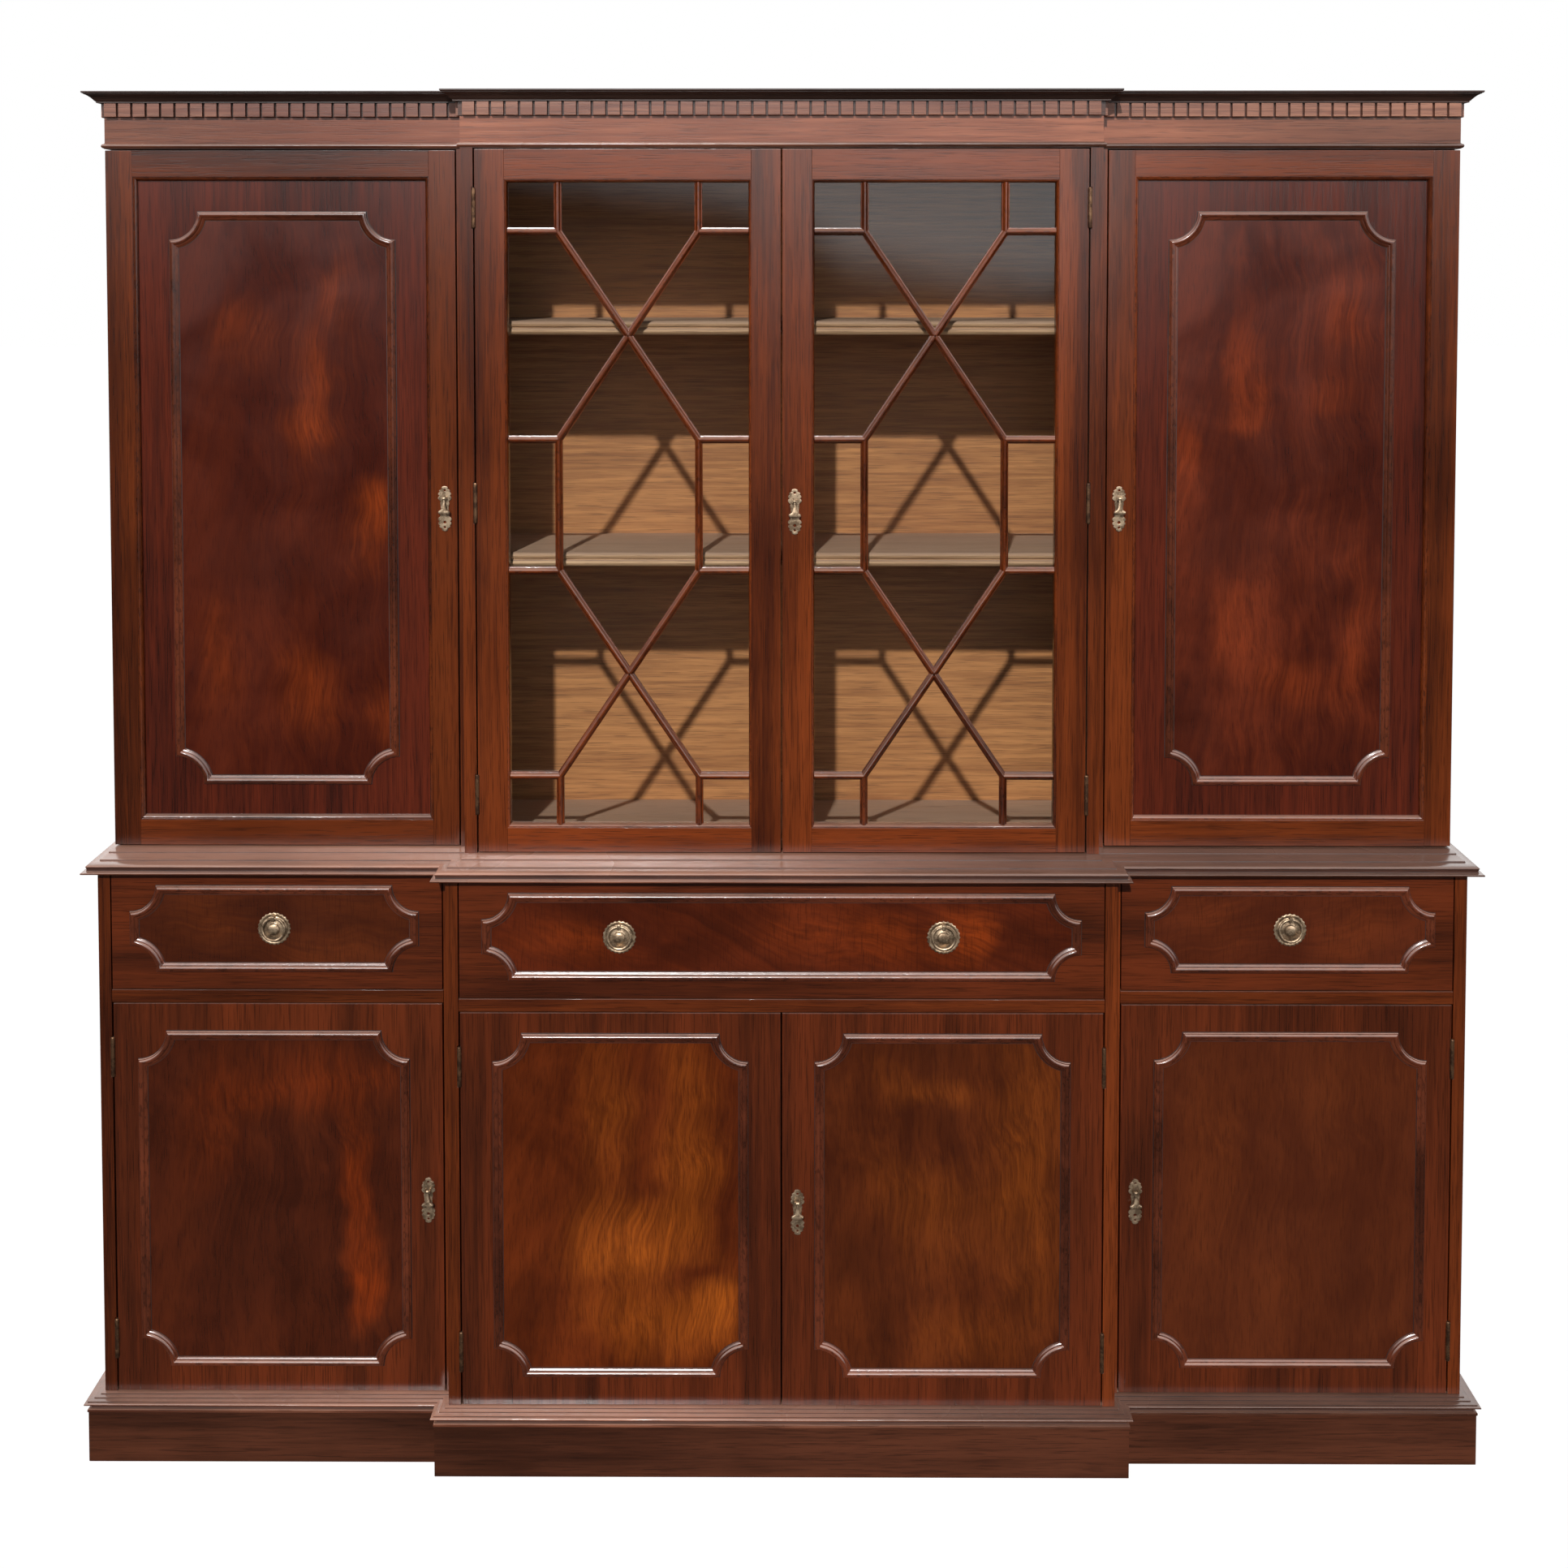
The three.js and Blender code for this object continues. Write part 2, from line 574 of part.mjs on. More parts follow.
function glazingBars(width, height) {
  const at = (across, up) => new THREE.Vector2((across - 0.5) * width, (up - 0.5) * height);
  const columns = [UPRIGHT_SHARE, 1 - UPRIGHT_SHARE];
  const rows = [STUB_SHARE, CROSSING_SHARE, 1 - CROSSING_SHARE, 1 - STUB_SHARE];
  const [foot, low, high, head] = rows;
  const bars = [];
  for (const column of columns) {
    bars.push([at(column, 0), at(column, foot)], [at(column, low), at(column, high)]);
    bars.push([at(column, head), at(column, 1)]);
    const edge = Math.round(column);
    for (const row of rows) bars.push([at(edge, row), at(column, row)]);
  }
  const [near, far] = columns;
  for (const [bottom, top] of [[foot, low], [high, head]]) {
    bars.push([at(near, bottom), at(far, top)], [at(near, top), at(far, bottom)]);
  }
  return bars.map(([a, b]) => glazingBar(a, b, BAR_WIDTH / 2)).reduce((all, bar) => all.add(bar));
}

function glazedDoor(name, side) {
  const door = {
    xa: side * (DOOR_GAP / 2), xb: side * (xUpperCentre - BOARD - DOOR_GAP),
    y: yUpperCentre, za: upperDoors.foot, zb: upperDoors.head,
  };
  const opening = {
    xa: door.xa + side * GLAZED_STILE, xb: door.xb - side * GLAZED_STILE,
    za: door.za + GLAZED_BOTTOM_RAIL, zb: door.zb - GLAZED_TOP_RAIL,
  };
  const bars = standUp(glazingBars(Math.abs(opening.xb - opening.xa), opening.zb - opening.za),
    (opening.xa + opening.xb) / 2, door.y, (opening.za + opening.zb) / 2);
  const frame = doorFrame(door, opening, GLAZED_EDGE_BEVEL, GLASS_DEPTH).add(bars);
  place(`glazed_door_frame_${name}`, frame.add(
    hingeBarrels(side * xUpperCentreHinge, door.y - BARREL_PROUD, upperHinges)), casework);
  place(`glazed_door_glass_${name}`, infill(opening, door.y + GLASS_DEPTH + JOINT, GLASS), glass);
}

function baseDoor(name, door, insets, xHinge) {
  const side = Math.sign(door.xb - door.xa);
  const leaf = board(door.xa, door.xb, door.y, door.y + DOOR_THICKNESS, baseDoors.foot, baseDoors.head);
  const moulding = appliedMoulding(door.xa + side * insets.inner, door.xb - side * insets.outer,
    baseDoors.foot + insets.foot, baseDoors.head - insets.top, door.y, WING_CORNER);
  place(name, leaf.add(moulding).add(
    hingeBarrels(xHinge, door.y - BARREL_PROUD, baseHinges)), flame);
}

function baseDoorPair(name, side) {
  const wing = {
    xa: side * (xBaseCentre + BASE_LINING + DOOR_GAP), xb: side * (xBase - BOARD - DOOR_GAP), y: yBase,
  };
  baseDoor(`base_wing_door_${name}`, wing,
    { inner: DOOR_INNER_INSET, outer: DOOR_OUTER_INSET, top: DOOR_TOP_INSET, foot: DOOR_FOOT_INSET },
    side * xBaseWingHinge);
  const centre = {
    xa: side * (DOOR_GAP / 2), xb: side * (xBaseCentre - BOARD - DOOR_GAP), y: yBaseCentre,
  };
  baseDoor(`base_centre_door_${name}`, centre,
    { inner: CENTRE_SIDE_INSET, outer: CENTRE_SIDE_INSET, top: CENTRE_TOP_INSET,
      foot: CENTRE_FOOT_INSET }, side * xBaseCentreHinge);
}

const drawerFoot = zDrawer + DRAWER_GAP;
const drawerHead = zWaist - FALL_TOP_GAP;

function drawerFront(xa, xb, yFace, innerInset, outerInset) {
  const side = Math.sign(xb - xa);
  const leaf = board(xa, xb, yFace, yFace + DOOR_THICKNESS, drawerFoot, drawerHead);
  const foot = drawerFoot + DRAWER_MOULD_RISE;
  return leaf.add(appliedMoulding(xa + side * innerInset, xb - side * outerInset,
    foot, foot + DRAWER_MOULD_HEIGHT, yFace, DRAWER_CORNER));
}

function wingDrawer(name, side) {
  const near = xBaseCentre + BASE_LINING;
  const far = xBase - BOARD;
  place(`drawer_front_${name}`, drawerFront(side * (near + DRAWER_GAP),
    side * (far - DRAWER_GAP), yBase, DRAWER_INNER_INSET, DRAWER_OUTER_INSET), flame);
  const boxFront = yBase + DOOR_THICKNESS + JOINT;
  const boxRear = yInside - DRAWER_BACK_GAP;
  const foot = zDrawer + RUN_GAP;
  const head = foot + DRAWER_BOX_HEIGHT;
  const [xa, xb] = [side * (near + RUN_GAP), side * (far - RUN_GAP)];
  const well = board(xa + side * DRAWER_WALL, xb - side * DRAWER_WALL, boxFront + DRAWER_WALL,
    boxRear - DRAWER_WALL, foot + DRAWER_FLOOR, head + CUT_OVERRUN);
  place(`drawer_box_${name}`, board(xa, xb, boxFront, boxRear, foot, head).subtract(well), drawerWood);
}

// The writing drawer: a well open at the front behind the fall, pigeonholes at the back
function writingDrawer() {
  const boxFront = yBaseCentre + DOOR_THICKNESS + JOINT;
  const boxRear = yInside - DRAWER_BACK_GAP;
  const half = xBaseCentre - BOARD - RUN_GAP;
  const foot = zDrawer + RUN_GAP;
  const head = foot + DRAWER_BOX_HEIGHT;
  const floor = drawerFoot + WRITING_FLOOR;
  const inner = half - DRAWER_WALL;
  const holesFront = boxRear - DRAWER_WALL - PIGEONHOLE_DEPTH;
  let box = board(-half, half, boxFront, boxRear, foot, head).subtract(
    board(-inner, inner, boxFront - CUT_OVERRUN, holesFront, floor, head + CUT_OVERRUN));
  const pitch = (2 * inner + PIGEONHOLE_WALL) / PIGEONHOLES;
  for (let i = 0; i < PIGEONHOLES; i += 1) {
    const start = -inner + i * pitch;
    box = box.subtract(board(start, start + pitch - PIGEONHOLE_WALL, holesFront - CUT_OVERRUN,
      boxRear - DRAWER_WALL, floor, head - PIGEONHOLE_WALL));
  }
  place("writing_drawer_box", box, drawerWood);
}

// The fall front, with a brass quadrant at each end struck about its hinge line
function fallFront() {
  const half = xBaseCentre - BOARD - DRAWER_GAP;
  let front = drawerFront(-half, half, yBaseCentre, FALL_SIDE_INSET, FALL_SIDE_INSET);
  const [from, to] = [QUADRANT_FOOT_ANGLE, QUADRANT_HEAD_ANGLE].map(THREE.MathUtils.degToRad);
  const sector = new THREE.Shape();
  sector.absarc(0, 0, QUADRANT_RADIUS + QUADRANT_WIDTH, from, to, false);
  sector.absarc(0, 0, QUADRANT_RADIUS, to, from, true);
  const bladeOf = () => new THREE.ExtrudeGeometry(sector,
    { depth: QUADRANT_THICKNESS, bevelEnabled: false, curveSegments: QUADRANT_STEPS });
  const outer = half - DRAWER_WALL - QUADRANT_GAP;
  for (const x of [-outer, outer - QUADRANT_THICKNESS]) {
    const blade = bladeOf().rotateX(Math.PI / 2).rotateZ(Math.PI / 2).translate(x, yBaseCentre, drawerFoot);
    front = front.add(solidOf(blade));
  }
  place("fall_front", front, flame);
}

// The rose of a ring pull, drawn on the face: a turned plate with a boss and a bored lug
function ringRose() {
  const [rim, shoulder, field] = ROSE_PROFILE_SHARES.map((share) => share * ROSE_RADIUS);
  const outline = [
    [0, 0], [ROSE_RADIUS, 0], [ROSE_RADIUS, ROSE_RIM / 2], [rim, ROSE_RIM], [shoulder, ROSE_FIELD],
    [field, ROSE_FIELD], [ROSE_BOSS_RADIUS, ROSE_FIELD],
    [ROSE_BOSS_RADIUS / 2, ROSE_BOSS_HEIGHT], [0, ROSE_BOSS_HEIGHT],
  ].map(([x, y]) => new THREE.Vector2(x, y));
  const turned = solidOf(new THREE.LatheGeometry(outline, ROUND_SIDES).rotateX(Math.PI / 2));
  const height = 2 * (LUG_BORE + LUG_WALL);
  const reach = RING_OUT + LUG_BORE + LUG_WALL;
  const block = solidOf(new THREE.BoxGeometry(LUG_WIDTH, height, reach)
    .translate(0, RING_PIVOT_RISE, reach / 2));
  const bore = solidOf(new THREE.CylinderGeometry(LUG_BORE, LUG_BORE, 2 * LUG_WIDTH, PIN_SIDES)
    .rotateZ(Math.PI / 2).translate(0, RING_PIVOT_RISE, RING_OUT));
  return turned.add(block).subtract(bore);
}

const ringOfPull = () => solidOf(
  new THREE.TorusGeometry(RING_RADIUS, RING_WIRE, WIRE_SIDES, ROUND_SIDES)
    .translate(0, RING_PIVOT_RISE - RING_RADIUS, RING_OUT));

// The escutcheon plate, drawn on the face, pierced, with ears and a pin for the drop
function escutcheon() {
  const quarter = PLATE_SHARES.map(([x, y]) => [x * PLATE_WIDTH, y * PLATE_HEIGHT]);
  const right = quarter.concat(quarter.slice(0, -1).reverse().map(([x, y]) => [x, -y]));
  const left = right.slice(1, -1).reverse().map(([x, y]) => [-x, y]);
  const outline = new THREE.Shape(right.concat(left).map(([x, y]) => new THREE.Vector2(x, y)));
  let solid = solidOf(new THREE.ExtrudeGeometry(outline, { depth: PLATE_THICKNESS, bevelEnabled: false }));
  for (const [share, radius] of PIERCINGS) {
    const hole = new THREE.CylinderGeometry(radius, radius, 2 * CUT_OVERRUN, PIN_SIDES);
    solid = solid.subtract(solidOf(hole.rotateX(Math.PI / 2).translate(0, share * PLATE_HEIGHT, 0)));
  }
  const rise = PIN_SHARE * PLATE_HEIGHT;
  const reach = PIN_OUT + PIN_RADIUS + PIN_GAP;
  const spread = EYE_WIDTH / 2 + PIN_GAP + EAR_THICKNESS / 2;
  for (const side of [-1, 1]) {
    solid = solid.add(solidOf(new THREE.BoxGeometry(EAR_THICKNESS, EAR_WIDTH, reach)
      .translate(side * spread, rise, reach / 2)));
  }
  return solid.add(solidOf(new THREE.CylinderGeometry(PIN_RADIUS, PIN_RADIUS, 2 * spread, PIN_SIDES)
    .rotateZ(Math.PI / 2).translate(0, rise, PIN_OUT)));
}

// The drop: an eye round the pin and a flared pendant, flattened front to back
function drop() {
  const rise = PIN_SHARE * PLATE_HEIGHT;
  const eyeRadius = PIN_RADIUS + PIN_GAP + EYE_WALL;
  const profile = DROP_SHARES.map(([out, down]) => new THREE.Vector2(
    out * DROP_WIDTH, -down * DROP_LENGTH));
  const top = profile[0].y;
  const bottom = profile[profile.length - 1].y;
  const closed = [new THREE.Vector2(0, bottom), ...profile.reverse(), new THREE.Vector2(0, top)];
  const pendant = solidOf(new THREE.LatheGeometry(closed, DROP_SIDES)
    .scale(1, 1, DROP_DEPTH / DROP_WIDTH).translate(0, rise, PIN_OUT));
  const eye = solidOf(new THREE.CylinderGeometry(eyeRadius, eyeRadius, EYE_WIDTH, PIN_SIDES)
    .rotateZ(Math.PI / 2).translate(0, rise, PIN_OUT));
  const bore = solidOf(new THREE.CylinderGeometry(PIN_RADIUS + PIN_GAP, PIN_RADIUS + PIN_GAP,
    2 * EYE_WIDTH, PIN_SIDES).rotateZ(Math.PI / 2).translate(0, rise, PIN_OUT));
  return eye.add(pendant).subtract(bore);
}

function hardware() {
  const upright = (solid) => standUp(solid, 0, 0, 0);
  const [rose, ring, plate, pendant] = [ringRose(), ringOfPull(), escutcheon(), drop()].map(upright);
  const pullHeight = drawerFoot + RING_PULL_RISE;
  const wingMiddle = (xBaseCentre + BASE_LINING + DRAWER_INNER_INSET
    + xBase - BOARD - DRAWER_OUTER_INSET) / 2;
  const pulls = {
    left: [-wingMiddle, yBase], writing_left: [-RING_PULL_SPREAD / 2, yBaseCentre],
    writing_right: [RING_PULL_SPREAD / 2, yBaseCentre], right: [wingMiddle, yBase],
  };
  for (const [name, [x, y]] of Object.entries(pulls)) {
    place(`ring_rose_${name}`, rose, brass, x, y - JOINT, pullHeight);
    place(`ring_pull_${name}`, ring, brass, x, y - JOINT, pullHeight);
  }
  const upperHeight = zUpper + UPPER_PLATE_RISE;
  const baseHeight = zCupboard + BASE_PLATE_RISE;
  const upperReach = xUpperCentre + UPPER_LINING + DOOR_GAP + UPPER_PLATE_INSET;
  const baseReach = xBaseCentre + BASE_LINING + DOOR_GAP + BASE_PLATE_INSET;
  const plates = {
    upper_left: [-upperReach, yUpper, upperHeight], upper_right: [upperReach, yUpper, upperHeight],
    upper_centre: [DOOR_GAP / 2 + UPPER_PLATE_INSET, yUpperCentre, upperHeight],
    base_left: [-baseReach, yBase, baseHeight], base_right: [baseReach, yBase, baseHeight],
    base_centre: [DOOR_GAP / 2 + BASE_PLATE_INSET, yBaseCentre, baseHeight],
  };
  for (const [name, [x, y, z]] of Object.entries(plates)) {
    place(`escutcheon_${name}`, plate, brass, x, y - JOINT, z);
    place(`drop_pull_${name}`, pendant, brass, x, y - JOINT, z);
  }
}

plinth();
baseCase();
upperCase();
frieze();
cornice();
for (const [name, side] of Object.entries(SIDES)) {
  wingDoor(name, side);
  glazedDoor(name, side);
  baseDoorPair(name, side);
  wingDrawer(name, side);
}
writingDrawer();
fallFront();
hardware();

export default bookcase;
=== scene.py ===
"""Breakfront secretary bookcase: mouldings, veneers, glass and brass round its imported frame."""

import json
import math

import bmesh
import bpy
from bpy.props import FloatProperty, FloatVectorProperty, IntProperty
from mathutils import Euler, Matrix, Vector


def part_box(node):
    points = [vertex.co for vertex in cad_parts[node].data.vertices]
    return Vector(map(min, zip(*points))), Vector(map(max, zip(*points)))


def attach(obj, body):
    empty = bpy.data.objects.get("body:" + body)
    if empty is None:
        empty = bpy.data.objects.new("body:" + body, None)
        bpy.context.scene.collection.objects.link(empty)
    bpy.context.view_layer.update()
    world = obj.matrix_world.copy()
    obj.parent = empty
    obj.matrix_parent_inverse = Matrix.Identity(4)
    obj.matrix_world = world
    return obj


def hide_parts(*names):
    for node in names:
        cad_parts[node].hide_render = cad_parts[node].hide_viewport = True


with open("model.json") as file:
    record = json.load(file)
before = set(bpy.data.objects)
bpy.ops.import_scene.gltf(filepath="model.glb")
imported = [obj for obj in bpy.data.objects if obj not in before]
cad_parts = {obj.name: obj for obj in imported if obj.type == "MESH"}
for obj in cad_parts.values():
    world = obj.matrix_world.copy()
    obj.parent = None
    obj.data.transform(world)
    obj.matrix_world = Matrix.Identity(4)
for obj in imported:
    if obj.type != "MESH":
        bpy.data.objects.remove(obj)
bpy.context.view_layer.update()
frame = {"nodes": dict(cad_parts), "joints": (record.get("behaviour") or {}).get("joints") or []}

bl_info = {
    "name": "Secretary bookcase",
    "version": (1, 0, 0),
    "blender": (4, 5, 0),
    "location": "3D View > Sidebar > Bookcase",
    "description": "Dresses the frame of a secretary bookcase in polished mahogany and brass",
    "category": "Object",
}

MM = 0.001
SIDES = {"left": -1, "right": 1}
JOINTS = {joint["name"]: joint for joint in frame["joints"]}

# How far the stiles that line the two cases narrow their middles, and the heights of mouldings
BASE_LINING, UPPER_LINING = 9 * MM, 11 * MM
CAP, BEAD_HEIGHT, CROWN_HEIGHT = 8 * MM, 8 * MM, 15.5 * MM
# Width of the mouldings worked round door openings
PANEL_STICKING, GLAZING_STICKING = 6 * MM, 4 * MM
# Where applied mouldings lie: inside a panel's opening, and above the foot of a drawer front
PANEL_MARGIN, FRONT_MOULD_FOOT, FRONT_MOULD_HEAD = 45 * MM, 26 * MM, 151 * MM
# How far the veneer runs in under its moulding, and its painted shade line stands out, as shares
VENEER_REACH, SHADE_LINE_SHARE = 0.6, 1.5
THIN_EASE, DENTIL_EASE = 0.3 * MM, 0.7 * MM
# Leather: how far the gilt line is from its edge, and half its width
GILT_INSET, GILT_HALF = 13 * MM, 1.2 * MM
PORE_DEPTH = 0.4 * MM
# The roughness from which a wood counts as unpolished
UNPOLISHED = 0.55
# Between faces: smooth below the first, eased above the second or the third, flat below the last
SMOOTH, SHARP, RIM, FLAT = (math.radians(angle) for angle in (28, 50, 57.3, 0.5))
WELD, FRAME_WELD = 1e-6, 1e-5


def tone(red, green, blue):
    """A colour seen as 0 to 255, as the light that a shader takes."""
    def light(value):
        share = value / 255
        return share / 12.92 if share <= 0.04045 else ((share + 0.055) / 1.055) ** 2.4
    return light(red), light(green), light(blue)


def length(label, description, millimetres):
    return FloatProperty(name=label, description=description, default=millimetres * MM,
                         min=0.0, precision=4, unit="LENGTH")


def colour(label, description, default):
    return FloatVectorProperty(name=label, description=description, default=default,
                               size=3, min=0.0, max=1.0, subtype="COLOR")


class BookcaseSizes(bpy.types.PropertyGroup):
    """Sizes of the fine work, which the frame doesn't give"""

    board: length("Board", "Thickness of the case's boards", 18)
    door: length("Door", "Thickness of doors and drawer fronts", 20)
    door_gap: length("Door gap", "Gap between a door and the stile that it hangs on", 2)
    ease: length("Eased edge", "How far sharp edges are worn back", 0.8)
    mould_width: length("Applied moulding", "Width of the applied mouldings", 12.5)
    mould_proud: length("Moulding height", "How far applied mouldings stand out", 5.5)
    door_corner: length("Door corner", "Radius of the hollow corners on doors", 41)
    drawer_corner: length("Drawer corner", "Radius of the hollow corners on drawers", 38)
    veneer: length("Veneer", "How far the figured veneer stands out inside a moulding", 0.3)
    dentil_width: length("Dentil", "Width of one dentil", 17.5)
    dentil_space: length("Dentil space", "Space between dentils", 3.2)
    dentil_proud: length("Dentil height", "How far a dentil stands out from the case", 7)
    bar: length("Glazing bar", "Width of a glazing bar", 11)
    # The dark line beside each applied moulding is painted shade
    dirt: length("Dirt", "How far the dark line beside an applied moulding reaches", 0.9)
    rebate: length("Rebate", "Lap of glass and panels behind their frame", 7)
    knuckle: length("Hinge knuckle", "Radius of a hinge's knuckle", 3.0)
    hinge: length("Hinge", "Length of a butt hinge", 58)
    rose: length("Rose", "Radius of a ring pull's rose", 24)
    ring: length("Ring", "Radius of a ring pull, to the middle of its wire", 16)
    wire: length("Ring wire", "Radius of a ring pull's wire", 1.8)
    plate: length("Key plate", "Height of a key plate", 66)
    corner_steps: IntProperty(name="Corner steps", description="Facets of a hollow corner",
                              default=12, min=3)
    round_steps: IntProperty(name="Round steps", description="Facets of turned brass",
                             default=48, min=12)


# Each stain: its label, what it colours, and its dark and its light grain as they are seen
STAINS = {
    "frame": ("Frame", "stiles and rails", (52, 18, 6), (118, 52, 18)),
    "margin": ("Margin", "the wood round applied mouldings", (56, 22, 9), (100, 42, 18)),
    "upper_margin": ("Upper margin", "the panels' edges", (48, 17, 11), (92, 34, 18)),
    "applied": ("Applied moulding", "applied mouldings", (54, 23, 12), (104, 49, 28)),
    # Painted shade: the dark line beside each applied moulding
    "dirt": ("Dirt", "dirty corners", (26, 10, 6), (44, 18, 10)),
    "frieze": ("Frieze", "the frieze", (104, 52, 32), (168, 104, 76)),
    "crown": ("Cornice", "the cornice", (40, 24, 18), (76, 50, 40)),
    "dentil": ("Dentils", "the dentils", (100, 56, 42), (176, 124, 100)),
    "plinth": ("Plinth", "the plinth", (46, 20, 9), (88, 46, 28)),
    "mould": ("Moulding", "mouldings", (64, 28, 16), (150, 96, 72)),
    # Painted shade in the mouldings' hollows
    "hollow": ("Hollows", "the mouldings' hollows", (40, 18, 11), (92, 54, 40)),
    # The upper case's inside is darker: painted shade
    "inner": ("Inside", "the upper case's inside", (38, 20, 12), (74, 44, 28)),
    "back": ("Back", "the back boards", (140, 84, 46), (190, 126, 76)),
    "shelf": ("Shelf", "the shelves", (160, 120, 92), (222, 178, 144)),
    "drawer": ("Drawer", "the drawers' insides", (134, 96, 58), (184, 142, 94)),
    "brass": ("Brass", "tarnished and rubbed brass", (98, 80, 62), (188, 164, 136)),
    "hinge": ("Hinge", "the hinges' brass", (58, 38, 26), (118, 88, 64)),
}


SHADES = "dark", "light"
class BookcaseColours(bpy.types.PropertyGroup):
    """Colours of the woods and the brass"""

    # The pale tone that faces looking up turn to: partly wear, partly painted sheen
    worn: colour("Worn edges", "Tone of mouldings where they are rubbed", tone(186, 142, 122))
    shelf_top: colour("Shelf, top", "Dusty tops of the shelves", tone(156, 126, 114))
    leather: colour("Leather", "Green hide of the writing surface", tone(38, 58, 40))
    gilt: colour("Gilt", "Gilt line round the writing surface", tone(176, 138, 62))


BookcaseColours.__annotations__.update({
    f"{stain}_{shade}": colour(f"{label}, {shade}", f"{shade.capitalize()} tone of {place}",
                               tone(*seen))
    for stain, (label, place, *tones) in STAINS.items() for shade, seen in zip(SHADES, tones)})


class BookcaseStage(bpy.types.PropertyGroup):
    """Camera and light"""

    place: FloatVectorProperty(name="Camera", description="Where the camera stands", size=3,
                               default=(0.01506, -2.58996, 1.72397), subtype="TRANSLATION",
                               unit="LENGTH")
    tilt: FloatVectorProperty(name="Turn", description="How the camera is turned", size=3,
                              default=(math.radians(87.81), 0.0, math.radians(0.22)),
                              subtype="EULER")
    lens: FloatProperty(name="Lens", description="Focal length in millimetres", default=39.69)
    shift: FloatVectorProperty(name="Shift", size=2, default=(-0.0009, -0.2854),
                               description="Crop of the picture, as shares of its side")
    key: FloatProperty(name="Key light", description="Strength of the key lamp", default=3.25)
    key_spread: FloatProperty(name="Key spread", description="How wide the key lamp looks",
                              default=math.radians(1.5), subtype="ANGLE")
    key_run: FloatVectorProperty(name="Key direction", description="The way that its light runs",
                                 size=3, default=(0.107, 0.849, -0.518), subtype="DIRECTION")
    sky: FloatProperty(name="Sky", description="How bright the sky is in reflections", default=2.6)
    fill: FloatProperty(name="Fill light", description="Strength of the soft light all round",
                        default=0.14)


# How far each profile stands out, in millimetres, and how high it is as a share, foot first
PLINTH_BOARD = [(-4, 0), (16.9, 0), (17.5, 0.01), (17.5, 0.858), (18.5, 0.866), (18.9, 0.882),
                (18.9, 0.898), (18.5, 0.912), (17.6, 0.918), (14.8, 0.92), (14.4, 0.94), (14.4, 1),
                (-4, 1)]
PLINTH_CAP = [(21.4, 0), (22.2, 0.06), (22.5, 0.16), (22.4, 0.27), (21.9, 0.35), (21, 0.39),
              (18.6, 0.4), (18.5, 0.55), (17.6, 0.58), (15.6, 0.6), (11.4, 0.6), (11.3, 0.74),
              (10.4, 0.77), (8.6, 0.79), (4.6, 0.79), (4.5, 0.93), (3.6, 0.96), (0, 1), (-4, 1),
              (-4, 0)]
WAIST = [(0, 0), (17, 0), (17.8, 0.02), (18, 0.06), (17.8, 0.1), (17, 0.125), (12.2, 0.14),
         (11.4, 0.16), (11, 0.25), (11.4, 0.38), (12.2, 0.43), (12.4, 0.45), (12.2, 0.49),
         (11, 0.55), (8.8, 0.6), (5.5, 0.64), (1.5, 0.66), (-2.5, 0.67), (-2.8, 0.74),
         (-3.8, 0.76), (-12, 0.8), (-18, 0.845), (-21, 0.86), (-24.5, 0.865), (-24.8, 0.93),
         (-26, 0.945), (-36, 0.98), (-46, 1)]
BEAD = [(0, 0), (0.8, 0), (0.8, 0.08), (2, 0.12), (3.1, 0.22), (3.8, 0.36), (4, 0.5), (3.8, 0.64),
        (3.1, 0.78), (2, 0.88), (0.8, 0.92), (0.8, 1), (0, 1)]
CROWN = [(0, 0), (8.5, 0), (8.5, 0.1), (9.2, 0.13), (10.4, 0.2), (12, 0.32), (14, 0.45),
         (16.4, 0.58), (19, 0.68), (21.4, 0.74), (21.4, 0.79), (22.6, 0.8), (23.6, 0.84),
         (24, 0.88), (24, 1), (0, 1)]
FLOOR = [(-4.2, 0), (-4.2, 1)]
FRIEZE = [(-20, 0), (0, 0), (0, 1), (-20, 1)]
DENTIL_BAND = [(-20, 0), (2, 0), (2, 1), (-20, 1)]

# Where those profiles get painted shade, and where the plinth's bead gets a painted highlight with
# wear, as shares of their height
CAP_SHADE = ((0.4, 0.55), (0.6, 0.74), (0.79, 0.93))
WAIST_SHADE = ((0.14, 0.43), (0.68, 0.74), (0.868, 0.928))
PLINTH_SHADE = ((0.918, 1),)
PLINTH_HIGHLIGHT_AND_WEAR = ((0.862, 0.917),)

# Applied moulding: shares of its width from the outside in, and of its height
APPLIED_SHARES = [(0, 0), (0, 0.42), (0.05, 0.56), (0.13, 0.6), (0.15, 0.72), (0.21, 0.88),
                  (0.3, 0.98), (0.4, 1), (0.5, 0.95), (0.58, 0.82), (0.63, 0.66), (0.66, 0.56),
                  (0.74, 0.54), (0.82, 0.46), (0.9, 0.33), (0.95, 0.26), (1, 0.24), (1, 0)]

# Edge of a shelf: shares of its thickness, out past the board and up
REEDED_SHARES = [(0, 0), (0.08, 0.03), (0.2, 0.12), (0.26, 0.24), (0.2, 0.38), (0.06, 0.47),
                 (0.06, 0.53), (0.2, 0.62), (0.26, 0.76), (0.2, 0.88), (0.08, 0.97), (0, 1)]

# Glazing bar: shares of its width across and of its depth from the back to the nose
BAR_SHARES = [(-0.5, 0), (-0.5, 0.42), (-0.36, 0.46), (-0.34, 0.62), (-0.24, 0.84), (-0.09, 0.98),
              (0.09, 0.98), (0.24, 0.84), (0.34, 0.62), (0.36, 0.46), (0.5, 0.42), (0.5, 0)]

